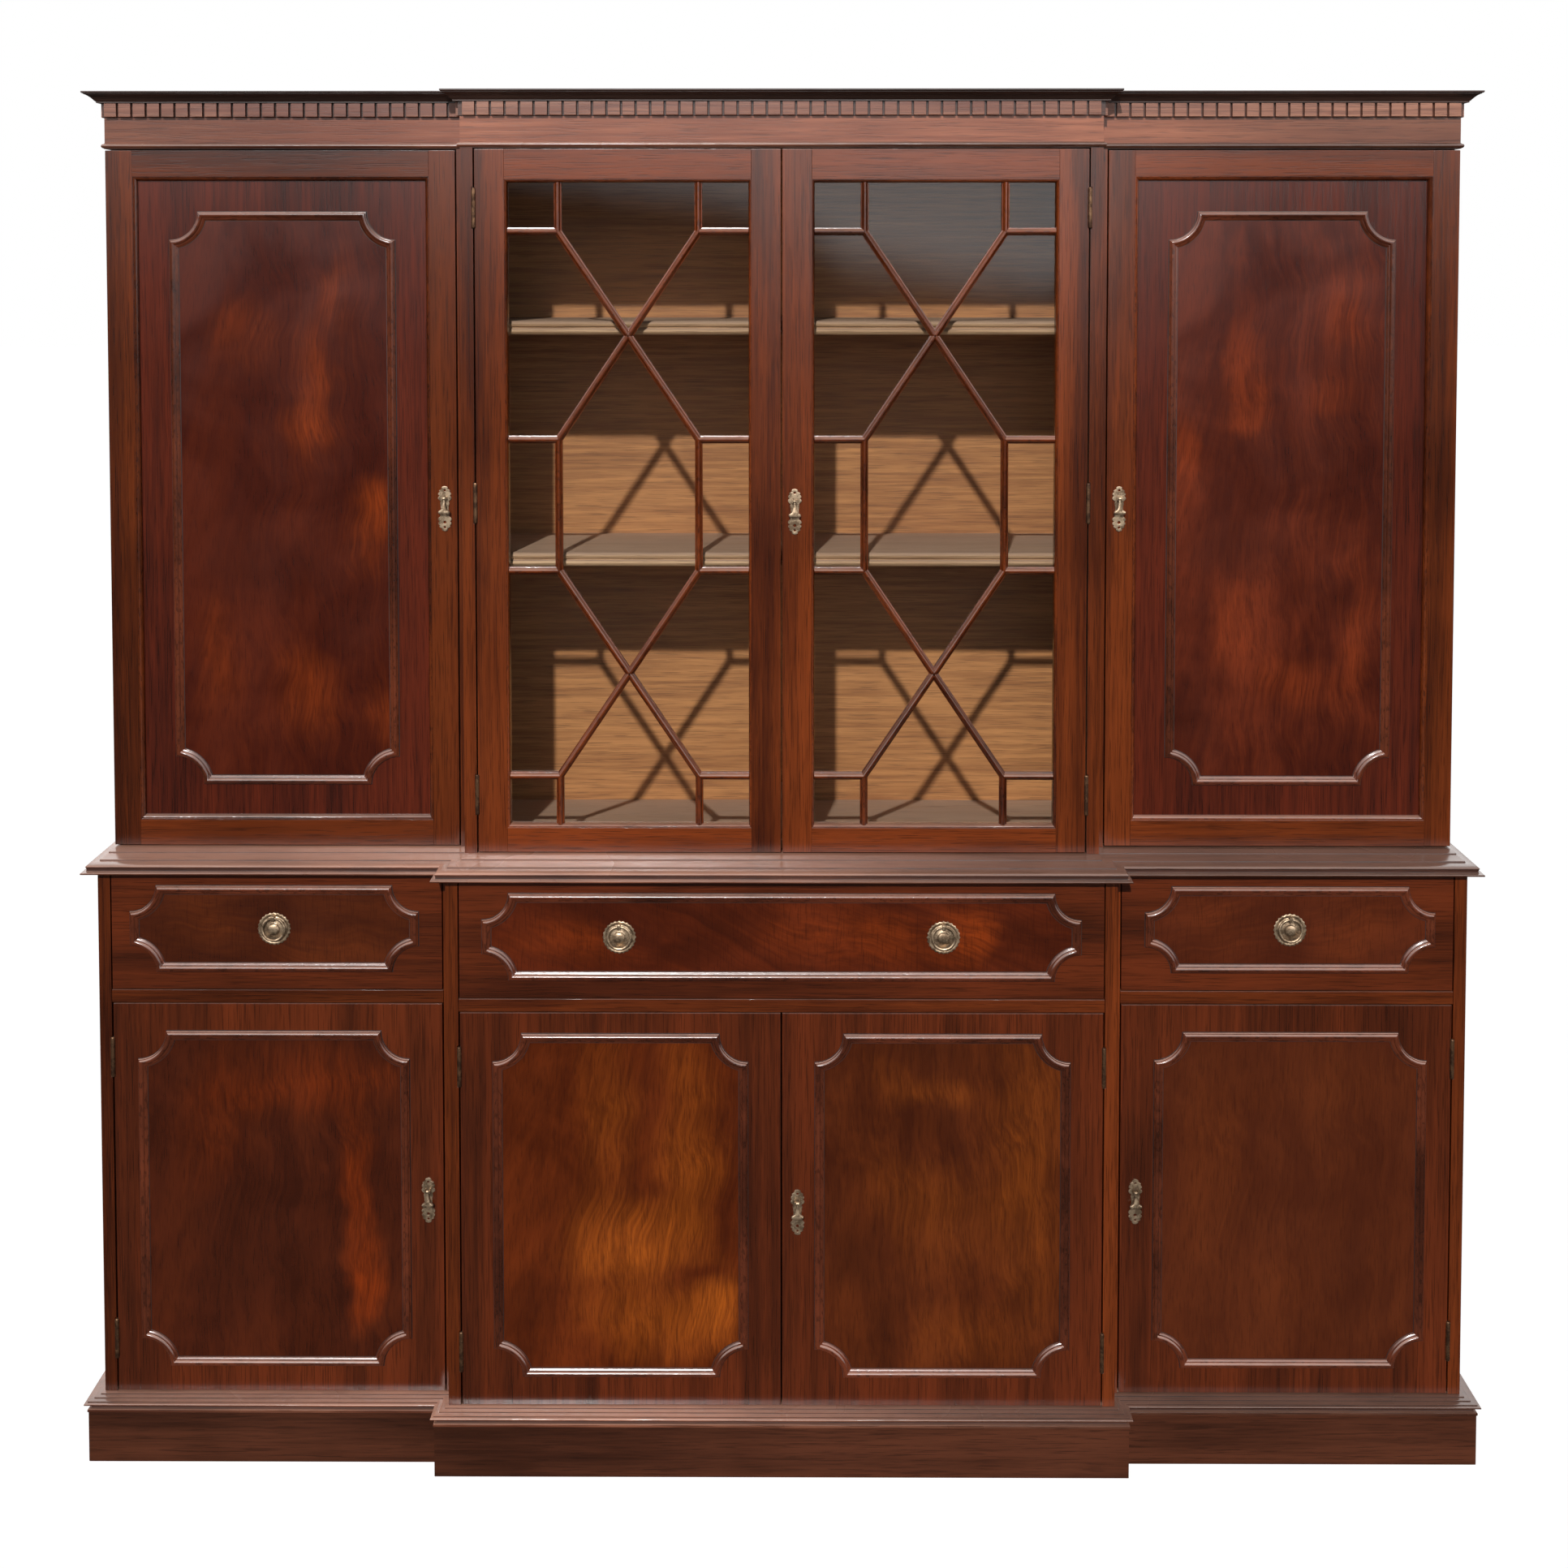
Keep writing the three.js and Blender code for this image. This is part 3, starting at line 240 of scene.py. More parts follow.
# Moulding round a door's opening: shares of its width out over the frame, and of the door's depth
STICKING_SHARES = [(0, 1), (0, 0.32), (0.05, 0.26), (0.18, 0.18), (0.36, 0.11), (0.56, 0.07),
                   (0.78, 0.055), (0.8, 0.055), (0.8, 0.02), (0.84, 0), (1, 0), (1, 1)]

# Half of a key plate's outline: shares of its height out from the middle, and up
PLATE_SHARES = [(0, 0.5), (0.05, 0.487), (0.07, 0.462), (0.055, 0.44), (0.09, 0.425), (0.125, 0.4),
                (0.105, 0.372), (0.14, 0.345), (0.145, 0.31), (0.11, 0.285), (0.14, 0.262),
                (0.152, 0.23), (0.13, 0.195), (0.09, 0.165), (0.105, 0.12), (0.09, 0.06),
                (0.085, 0)]

# A drop: half its width, half its depth and its place down, as shares of its length
DROP_SHARES = [(0.06, 0.06, 0.05), (0.08, 0.075, 0.1), (0.07, 0.07, 0.2), (0.095, 0.08, 0.34),
               (0.14, 0.1, 0.52), (0.17, 0.12, 0.64), (0.2, 0.125, 0.7), (0.3, 0.12, 0.76),
               (0.37, 0.125, 0.82), (0.385, 0.13, 0.88), (0.37, 0.12, 0.95), (0.3, 0.08, 1)]

# How far each turned part stands out, as shares of its radius, and how far along it is
KNUCKLE_SHARES = [(0, 0), (0.7, 0), (1, 0.03)] + [
    spot for cut in (0.2, 0.4, 0.6, 0.8)
    for spot in ((1, cut - 0.006), (0.86, cut - 0.002), (0.86, cut + 0.002), (1, cut + 0.006))
] + [(1, 0.97), (0.7, 1), (0, 1)]
ROSE_SHARES = [(0, 0), (1, 0), (1, 0.12), (0.985, 0.2), (0.95, 0.27), (0.9, 0.29), (0.84, 0.26),
               (0.81, 0.2), (0.79, 0.16), (0.76, 0.16), (0.74, 0.24), (0.71, 0.3), (0.67, 0.3),
               (0.64, 0.26), (0.6, 0.27), (0.5, 0.33), (0.42, 0.4), (0.37, 0.48), (0.35, 0.58),
               (0.33, 0.72), (0.28, 0.86), (0.2, 0.95), (0.1, 0.99), (0, 1)]


# Mesh work

def loft(bm, loops, ring=False):
    """Pulls a closed outline through a row of places: a ring comes back to the first, and a bar
    gets its two ends filled."""
    first = [bm.verts.new(point) for point in loops[0]]
    first_edges = [bm.edges.new(pair) for pair in zip(first, first[1:] + first[:1])]
    verts, edges = first, first_edges
    for loop in loops[1:] + ([loops[0]] if ring else []):
        made = bmesh.ops.extrude_edge_only(bm, edges=edges)["geom"]
        new = set(made)
        verts = [next(e.other_vert(v) for e in v.link_edges if e.other_vert(v) in new)
                 for v in verts]
        for vert, point in zip(verts, loop):
            vert.co = point
        ends = set(verts)
        edges = [e for e in made if isinstance(e, bmesh.types.BMEdge) and set(e.verts) <= ends]
    if ring:
        bmesh.ops.weld_verts(bm, targetmap=dict(zip(verts, first)))
    else:
        bmesh.ops.edgeloop_fill(bm, edges=first_edges)
        bmesh.ops.edgeloop_fill(bm, edges=edges)


def ease(bm, edges, offset):
    bmesh.ops.bevel(bm, geom=edges, offset=offset, offset_type="OFFSET", affect="EDGES",
                    segments=2, profile=0.5, material=-1, clamp_overlap=True)


def run_round(bm, lines):
    """Joins the lines of a moulding, each given corner by corner, into a closed ring."""
    loft(bm, [list(section) for section in zip(*lines)], ring=True)


def block(bm, low, high, edge=0.0):
    """A board between two corners, with its edges eased."""
    verts = bmesh.ops.create_cube(bm, size=1.0)["verts"]
    low, high = Vector(low), Vector(high)
    bmesh.ops.scale(bm, vec=high - low, verts=verts)
    bmesh.ops.translate(bm, vec=(low + high) / 2, verts=verts)
    if edge:
        ease(bm, list(dict.fromkeys(e for v in verts for e in v.link_edges)), edge)


def circle(radius, steps):
    """The corners of a circle in its own plane."""
    return [(radius * math.cos(t), radius * math.sin(t))
            for t in (math.tau * i / steps for i in range(steps))]


def turned(bm, profile, place, steps, turn=None, closed=False):
    """A solid turned about Z from (radius, height) pairs, which start and end on the axis or come
    back to the first one, then turned and placed."""
    old = set(bm.verts)
    verts = [bm.verts.new((radius, 0, height)) for radius, height in profile]
    edges = [bm.edges.new(pair) for pair in zip(verts, verts[1:] + verts[:closed])]
    bmesh.ops.spin(bm, geom=verts + edges, cent=(0, 0, 0), axis=(0, 0, 1), dvec=(0, 0, 0),
                   angle=math.tau, steps=steps, use_merge=True, use_duplicate=False)
    bmesh.ops.remove_doubles(bm, verts=[v for v in bm.verts if v not in old], dist=WELD)
    made = [v for v in bm.verts if v not in old]
    if turn:
        bmesh.ops.transform(bm, matrix=turn, verts=made)
    bmesh.ops.translate(bm, vec=place, verts=made)


def add_piece(bm, name, body, finishes, replaces=()):
    """Makes a bmesh a piece of the bookcase, smooth where its faces meet at a small angle."""
    bmesh.ops.recalc_face_normals(bm, faces=bm.faces)
    for face in bm.faces:
        face.smooth = True
    for edge in bm.edges:
        edge.smooth = edge.is_manifold and edge.calc_face_angle(0) < SMOOTH
    mesh = bpy.data.meshes.new(name)
    bm.to_mesh(mesh)
    bm.free()
    for each in finishes:
        mesh.materials.append(finish(each))
    obj = bpy.data.objects.new(name, mesh)
    bpy.context.scene.collection.objects.link(obj)
    weighted = obj.modifiers.new("flat_faces_stay_flat", "WEIGHTED_NORMAL")
    weighted.keep_sharp = True
    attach(obj, body)
    if replaces:
        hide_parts(*replaces)


def cut_board(node, body, finishes):
    """A board as it was cut for the frame, with its edges eased. A second finish goes on the
    faces that look into the case; there it is a darker wood, painted shade."""
    bm = bmesh.new()
    bm.from_mesh(frame["nodes"][node].data)
    bmesh.ops.remove_doubles(bm, verts=bm.verts, dist=FRAME_WELD)
    bmesh.ops.dissolve_limit(bm, angle_limit=FLAT, verts=bm.verts, edges=bm.edges)
    ease(bm, [e for e in bm.edges if e.is_manifold and e.calc_face_angle(0) > SHARP],
         bpy.context.scene.bookcase_sizes.ease)
    if len(finishes) > 1:
        bmesh.ops.recalc_face_normals(bm, faces=bm.faces)
        for face in bm.faces:
            outside = face.normal.y < -0.5 or (
                "side" in node and face.normal.x * face.calc_center_median().x > 0)
            face.material_index = 0 if outside else 1
    add_piece(bm, f"{node}_board", body, finishes, [node])


def mark(bm, foot, height, bands, index, steepest=0.5):
    """Gives another material to the steep faces at these shares of a moulding's height."""
    bmesh.ops.recalc_face_normals(bm, faces=bm.faces)
    for face in bm.faces:
        share = (face.calc_center_median().z - foot) / height
        if face.normal.z < steepest and any(low < share < high for low, high in bands):
            face.material_index = index


class Plan:
    """The outline of a breakfront case from above, as the frame has it."""

    def __init__(self, side, stile, face, lining):
        self.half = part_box(side)[1].x
        self.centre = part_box(stile)[1].x - lining
        self.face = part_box(face)[0].y
        self.centre_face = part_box(stile)[0].y
        self.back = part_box("cornice")[1].y

    def corners(self, proud, height, above=None):
        """The outline this far outside the case, but never inside what stands on it."""
        wide, centre, back = self.half + proud, self.centre + proud, self.back + min(proud, 0)
        face, centre_face = self.face - proud, self.centre_face - proud
        if above:
            wide, centre = max(wide, above.half + MM), max(centre, above.centre + MM)
            face, back = min(face, above.face - MM), self.back
            centre_face = min(centre_face, above.centre_face - MM)
        row = [(wide, back), (wide, face), (centre, face), (centre, centre_face)]
        row += [(-x, y) for x, y in reversed(row)]
        return [Vector((x, y, height)) for x, y in row]

    def slab(self, bm, profile, foot, height, above=None):
        loft(bm, [self.corners(proud * MM, foot + share * height, above)
                  for proud, share in profile])

    def walls(self, bm, profile, foot, height):
        run_round(bm, [self.corners(proud * MM, foot + share * height)
                       for proud, share in profile])


def base_plan():
    return Plan("base_side_right", "base_partition_right", "base_side_right", BASE_LINING)


def upper_plan():
    return Plan("upper_side_right", "upper_partition_right", "upper_wing_door_frame_right",
                UPPER_LINING)


def hollow_cornered(sizes, rect, radius, inset, y):
    """A rectangle (left, right, foot, head) with hollow corners, drawn in by an inset."""
    left, right, foot, head = rect
    reach = radius + inset
    lean = math.asin(inset / reach)
    arc = [lean + i / sizes.corner_steps * (math.pi / 2 - 2 * lean)
           for i in range(sizes.corner_steps + 1)]
    corners = ((left, foot, 1, 1, -1), (right, foot, -1, 1, 1),
               (right, head, -1, -1, -1), (left, head, 1, -1, 1))
    return [Vector((x + to_x * reach * math.cos(t), y, z + to_z * reach * math.sin(t)))
            for x, z, to_x, to_z, way in corners for t in arc[::way]]


def framed_veneer(sizes, name, body, figure, rect, face, radius):
    """The veneer inside an applied moulding, and the moulding round it with its painted shade
    line.
    """
    def line(inset, depth):
        return hollow_cornered(sizes, rect, radius, inset, face + depth)

    veneer, width, dirt = sizes.veneer, sizes.mould_width, sizes.dirt
    bm = bmesh.new()
    loft(bm, [line(width * VENEER_REACH, depth) for depth in (veneer, -veneer)])
    add_piece(bm, f"{name}_field", body, [figure])
    bm = bmesh.new()
    # A thin dark ring that shows beside the moulding: painted shade
    proud = veneer * SHADE_LINE_SHARE
    run_round(bm, [line(-dirt, veneer), line(-dirt, -proud),
                   line(width + dirt, -proud), line(width + dirt, veneer)])
    for made in bm.faces:
        made.material_index = 1
    run_round(bm, [line(across * width, -up * sizes.mould_proud if up else veneer)
                   for across, up in APPLIED_SHARES])
    add_piece(bm, f"{name}_moulding", body, ["applied_wood", "dirty_wood"])


def opening_moulding(bm, rect, face, shares, width, depth):
    """A mitred moulding round an opening: width runs out over the frame, depth back from its
    face."""
    left, right, foot, head = rect
    lines = []
    for across, back in shares:
        out, y = across * width, face + back * depth
        lines.append([Vector((x, y, z)) for x, z in (
            (left - out, foot - out), (right + out, foot - out),
            (right + out, head + out), (left - out, head + out))])
    run_round(bm, lines)


def glazing_bar(bm, sizes, start, end, face, depth):
    """One bar between two (x, z) points, from the glass to just behind the door's face."""
    start, end = Vector(start), Vector(end)
    along = (end - start).normalized()
    across = Vector((-along.y, along.x)) * sizes.bar
    loft(bm, [[Vector((spot.x + side * across.x, face + (1 - nose) * depth,
                       spot.y + side * across.y))
               for side, nose in BAR_SHARES] for spot in (start, end)])


# Materials

class Nodes:
    """Short ways to add and link the nodes of a material or of the world."""

    def __init__(self, tree):
        self.nodes, self.links = tree.nodes, tree.links

    def feed(self, socket, value):
        if isinstance(value, bpy.types.NodeSocket):
            self.links.new(value, socket)
        elif isinstance(value, tuple) and len(value) == 3 and socket.type == "RGBA":
            socket.default_value = (*value, 1)
        else:
            socket.default_value = value

    def add(self, kind, inputs=None, **settings):
        node = self.nodes.new(f"ShaderNode{kind}")
        for name, value in settings.items():
            setattr(node, name, value)
        for name, value in (inputs or {}).items():
            self.feed(node.inputs[name], value)
        return node

    def math(self, operation, first, second=0.0, third=0.0, clamp=False):
        return self.add("Math", {0: first, 1: second, 2: third}, operation=operation,
                        use_clamp=clamp).outputs[0]

    def plus(self, first, second):
        return self.math("ADD", first, second)

    def less(self, first, second):
        return self.math("SUBTRACT", first, second)

    def times(self, first, second):
        return self.math("MULTIPLY", first, second)

    def times_plus(self, value, factor, added):
        return self.math("MULTIPLY_ADD", value, factor, added)

    def vector(self, operation, *inputs):
        return self.add("VectorMath", dict(enumerate(inputs)), operation=operation).outputs

    def split(self, vector):
        return self.add("SeparateXYZ", {0: vector}).outputs

    def noise(self, place, scale, detail=4.0, roughness=0.55, distortion=0.0):
        return self.add("TexNoise", {
            "Vector": place, "Scale": scale, "Detail": detail, "Roughness": roughness,
            "Distortion": distortion}).outputs["Fac"]

    def spread(self, value, low, high, to_low=0.0, to_high=1.0):
        return self.add("MapRange", {0: value, 1: low, 2: high, 3: to_low, 4: to_high},
                        interpolation_type="SMOOTHSTEP").outputs[0]

    def blend(self, share, first, second):
        return self.add("Mix", {0: share, 6: first, 7: second}, data_type="RGBA").outputs[2]


class Shader(Nodes):
    """One material, from its object's coordinates to its surface."""

    def __init__(self, name):
        self.material = bpy.data.materials.new(name)
        self.material.use_nodes = True
        super().__init__(self.material.node_tree)
        self.surface = self.nodes["Principled BSDF"]
        self.place = self.add("TexCoord").outputs["Object"]

    def stretch(self, scale=(1, 1, 1), centre=(0, 0, 0), turn=(0, 0, 0)):
        """The object's coordinates about a centre, turned and then scaled."""
        moved = self.add("Mapping", {"Vector": self.place, "Location": tuple(-c for c in centre)})
        return self.add("Mapping", {"Vector": moved.outputs[0], "Rotation": turn,
                                    "Scale": scale}).outputs[0]

    def bumps(self, height, strength, distance):
        self.feed(self.surface.inputs["Normal"], self.add(
            "Bump", {"Height": height, "Strength": strength, "Distance": distance}).outputs[0])

    def done(self, **inputs):
        for name, value in inputs.items():
            self.feed(self.surface.inputs[name.replace("_", " ")], value)
        return self.material


# How much a grain is squeezed along X, Y and Z, by the way that it runs
GRAIN = {"up": (1, 1, 0.035), "across": (0.035, 0.3, 1), "back": (1, 0.035, 1),
         "round": (0.2, 1, 0.2)}


def scaled(tint, share):
    return tuple(c * share for c in tint)


def wood(name, dark, light, reflection_ramps, run, worn, sheen_and_wear_tone, rough, coat, ribbon=0.55):
    """Straight-grained wood: ribbons and fine streaks along the grain, open pores and polish.
    worn is how far what faces up has turned to its pale tone, which is wear and painted sheen."""
    shader = Shader(name)
    place = shader.stretch(GRAIN[run])
    ribbons = shader.noise(place, 17, 3, 0.5, 0.4)
    streaks = shader.noise(place, 160, 5, 0.6, 0.2)
    patches = shader.noise(shader.stretch(), 3.2, 3)
    finer = tuple(share if share == 1 else share * 0.7 for share in GRAIN[run])
    pores = shader.noise(shader.stretch(finer), 760, 2, 0.5)
    share = shader.plus(shader.times(ribbons, ribbon), shader.times_plus(
        streaks, 0.85 - ribbon, shader.times(patches, 0.25)))
    grain = shader.blend(shader.spread(share, 0.38, 0.72), dark, light)
    pore = shader.spread(pores, 0.36, 0.46)
    shader.bumps(shader.times_plus(streaks, 0.35, pore), 0.12, PORE_DEPTH)
    base = shader.blend(shader.times_plus(pore, 0.5, 0.5), scaled(dark, 0.45), grain)
    # Painted sheen with wear: faces that look up turn towards a pale tone
    if worn:
        up = shader.split(shader.add("NewGeometry").outputs["Normal"])[2]
        rubbed = shader.times(shader.spread(up, 0.2, 0.85), shader.spread(streaks, 0.2, 0.6, 0.6))
        base = shader.blend(shader.times(rubbed, worn), base, sheen_and_wear_tone)
    # Painted reflection and shade: the stain's strength changes along X
    strength, *ramps = reflection_ramps
    across = shader.split(shader.place)[0]
    for start, end, change in ramps:
        strength = shader.plus(strength, shader.spread(across, start, end, 0, change))
    base = shader.add("VectorMath", {0: base, "Scale": strength}, operation="SCALE").outputs[0]
    return shader.done(Base_Color=base, Specular_IOR_Level=0.5 if rough < UNPOLISHED else 0.15,
                       Roughness=shader.times_plus(patches, 0.12, rough - 0.06),
                       Coat_Weight=coat, Coat_Roughness=0.12)


def flame(name, centre, colours, lean=0.0, fan=1.0, swirl=1.0, patches=()):
    """Figured veneer: a quiet dark ground whose streaks fan out as they rise, and patches where
    the figure flares up. A patch is (right of the centre, above it, half width, half height,
    strength) in millimetres, and shades the ground where its strength is below nothing."""
    shader = Shader(name)
    dark, middle, bright = colours
    place = shader.stretch((1, 1, 1), centre, (0, lean, 0))
    drift = shader.noise(place, 5, 2, 0.5)
    x, y, z = shader.split(place)
    bend = shader.math("POWER", shader.math("ABSOLUTE", shader.times_plus(drift, 0.12, x)), 1.4)
    along = shader.times_plus(bend, fan, shader.times_plus(drift, 0.1 * swirl, 0))
    spot = shader.add("CombineXYZ", {
        0: shader.plus(x, along), 1: y,
        2: shader.times_plus(z, 0.16, shader.times(along, 0.6))}).outputs[0]
    streaks = shader.noise(spot, 30, 5, 0.62, 0.6 * swirl)
    hairs = shader.noise(spot, 130, 4, 0.62, 0.3)
    broad = shader.noise(place, 4.5, 4, 0.6, 0.6)
    ground = shader.times_plus(broad, 0.5, shader.times_plus(
        streaks, 0.34, shader.times(hairs, 0.2)))
    base = shader.blend(shader.spread(ground, 0.4, 0.68), dark, middle)
    cloud = shader.add("TexNoise", {"Vector": place, "Scale": 9.0}).outputs["Color"]
    warp = shader.vector("SUBTRACT", cloud, (0.5, 0.5, 0.5))[0]
    moved = shader.vector("MULTIPLY_ADD", warp, (0.09, 0, 0.09),
                          shader.stretch((1, 1, 1), centre))[0]
    flare = 0.0
    for right, above, half_width, half_height, strength in patches:
        off = shader.vector("SUBTRACT", moved, (right * MM, 0, above * MM))[0]
        share = shader.vector("MULTIPLY", off, (
            1 / (half_width * MM), 0, 1 / (half_height * MM)))[0]
        away = shader.vector("LENGTH", share)["Value"]
        flare = shader.plus(flare, shader.spread(away, 1.5, 0.0, 0, strength))
    strokes = shader.times_plus(hairs, 0.6, shader.times(streaks, 0.4))
    grown = shader.times(flare, shader.spread(strokes, 0.36, 0.7, 0.3, 0.85))
    base = shader.blend(shader.math("MAXIMUM", grown, 0.0, clamp=True), base, bright)
    shade = shader.math("MULTIPLY", flare, -0.7, clamp=True)
    base = shader.blend(shade, base, scaled(dark, 0.55))
    pores = shader.noise(shader.stretch((1, 1, 0.06), centre, (0, lean, 0)), 620, 2, 0.5)
    pore = shader.spread(pores, 0.34, 0.46)
    shader.bumps(shader.times_plus(streaks, 0.3, pore), 0.06, PORE_DEPTH)
    base = shader.blend(shader.times_plus(pore, 0.35, 0.65), scaled(dark, 0.5), base)
    return shader.done(Base_Color=base, Roughness=shader.spread(broad, 0.3, 0.7, 0.17, 0.25),
                       Coat_Weight=0.12, Coat_Roughness=0.12)


def glass(name):
    """Old window glass: clear, faintly green and a little wavy."""
    shader = Shader(name)
    shader.bumps(shader.noise(shader.stretch((1, 1, 0.6)), 7, 2), 0.05, 0.004)
    shader.done(Base_Color=tone(252, 254, 252), Roughness=0.02, IOR=1.45, Transmission_Weight=1.0)
    rays = shader.add("LightPath").outputs
    clear = shader.add("BsdfTransparent", {"Color": tone(248, 251, 248)})
    passing = shader.math("MAXIMUM", rays["Is Shadow Ray"], shader.math(
        "MAXIMUM", rays["Is Diffuse Ray"], rays["Is Glossy Ray"]))
    mixed = shader.add("MixShader", {
        0: passing, 1: shader.surface.outputs[0], 2: clear.outputs[0]})
    shader.links.new(mixed.outputs[0], shader.nodes["Material Output"].inputs["Surface"])
    return shader.material


def brass(name, dark, light):
    """Aged brass: bright, with brown patches of tarnish and brown spots."""
    shader = Shader(name)
    place = shader.stretch()
    tarnish = shader.noise(place, 95, 4, 0.6)
    specks = shader.noise(place, 640, 3, 0.6)
    shader.bumps(shader.times_plus(specks, 0.4, tarnish), 0.15, 0.0006)
    brown = shader.spread(shader.times_plus(specks, 0.25, tarnish), 0.48, 0.74)
    return shader.done(Base_Color=shader.blend(brown, light, dark), Metallic=0.85,
                       Roughness=shader.spread(tarnish, 0.3, 0.7, 0.34, 0.55))


def hide(name, leather, gilt, low, high):
    """Leather with a gilt line tooled a little inside its edge."""
    shader = Shader(name)
    half = (high - low) / 2
    moved = shader.vector("ABSOLUTE", shader.stretch((1, 1, 1), tuple((low + high) / 2)))[0]
    parts = shader.split(moved)
    across, along = (0, 2) if half.y < half.z else (0, 1)
    inset = shader.math("MINIMUM", shader.less(half.x, parts[across]),
                        shader.less(half[along], parts[along]))
    off = shader.math("ABSOLUTE", shader.less(inset, GILT_INSET))
    line = shader.math("LESS_THAN", off, GILT_HALF)
    pebble = shader.noise(shader.stretch(), 900, 3, 0.6)
    worn = shader.noise(shader.stretch(), 14, 4, 0.6)
    skin = shader.blend(shader.spread(worn, 0.45, 0.75), leather, scaled(leather, 2.1))
    shader.bumps(shader.times_plus(line, -0.8, pebble), 0.3, 0.0005)
    return shader.done(Base_Color=shader.blend(line, skin, gilt),
                       Roughness=shader.spread(worn, 0.3, 0.7, 0.5, 0.62))


# Each straight-grained finish: its stain, the way its grain runs, its wear and painted sheen on
# what faces up, its roughness and coat, and the share of broad ribbons in its grain
WOODS = {
    "stile_wood": ("frame", "up", 0.2, 0.21, 0.12),
    "rail_wood": ("frame", "across", 0.2, 0.21, 0.12),
    "bar_wood": ("frame", "round", 0.5, 0.22, 0.12),
    "margin_wood": ("margin", "up", 0.2, 0.2, 0.12),
    "upper_margin_wood": ("upper_margin", "up", 0.2, 0.2, 0.12, 0.4),
    "drawer_margin_wood": ("margin", "across", 0.2, 0.2, 0.12),
    "frieze_wood": ("frieze", "across", 0.2, 0.3, 0.1),
    "crown_wood": ("crown", "across", 0.0, 0.4, 0.0),
    "dentil_wood": ("dentil", "across", 0.2, 0.4, 0.0),
    "moulding_wood": ("mould", "across", 0.6, 0.26, 0.12),
    # Painted shade, for the mouldings' hollows
    "hollow_wood": ("hollow", "across", 0.0, 0.4, 0.0),
    "applied_wood": ("applied", "round", 0.6, 0.24, 0.12),
    # Painted shade beside applied mouldings
    "dirty_wood": ("dirt", "round", 0.0, 0.5, 0.0),
    "plinth_wood": ("plinth", "across", 0.3, 0.3, 0.1),
    # Painted shade on the faces inside the upper case
    "inner_wood": ("inner", "up", 0.0, 0.5, 0.0),
    "back_wood": ("back", "across", 0.0, 0.5, 0.0, 0.2),
    "shelf_boards": ("shelf", "across", 0.75, 0.62, 0.0),
    "drawer_lining": ("drawer", "back", 0.0, 0.6, 0.0),
}

# Painted reflection and shade: a stain's strength, and ramps that change it from one X to another
REFLECTION_ACROSS = {
    "mould": (1.3, (-0.25, 0.35, -0.78), (0.35, 0.6, -0.12), (-0.45, -0.95, -0.4)),
    "hollow": (1.1, (-0.25, 0.35, -0.5), (-0.45, -0.95, -0.2)),
    "frame": (1.08, (0.5, 0.65, -0.2), (-0.42, -0.52, -0.42), (-0.8, -0.95, 0.15)),
    "frieze": (1.2, (0.3, 0.9, -0.65), (-0.5, -1.0, -0.5)),
}
# The stain of each metal finish
BRASSES = {"aged_brass": "brass", "dull_brass": "hinge"}

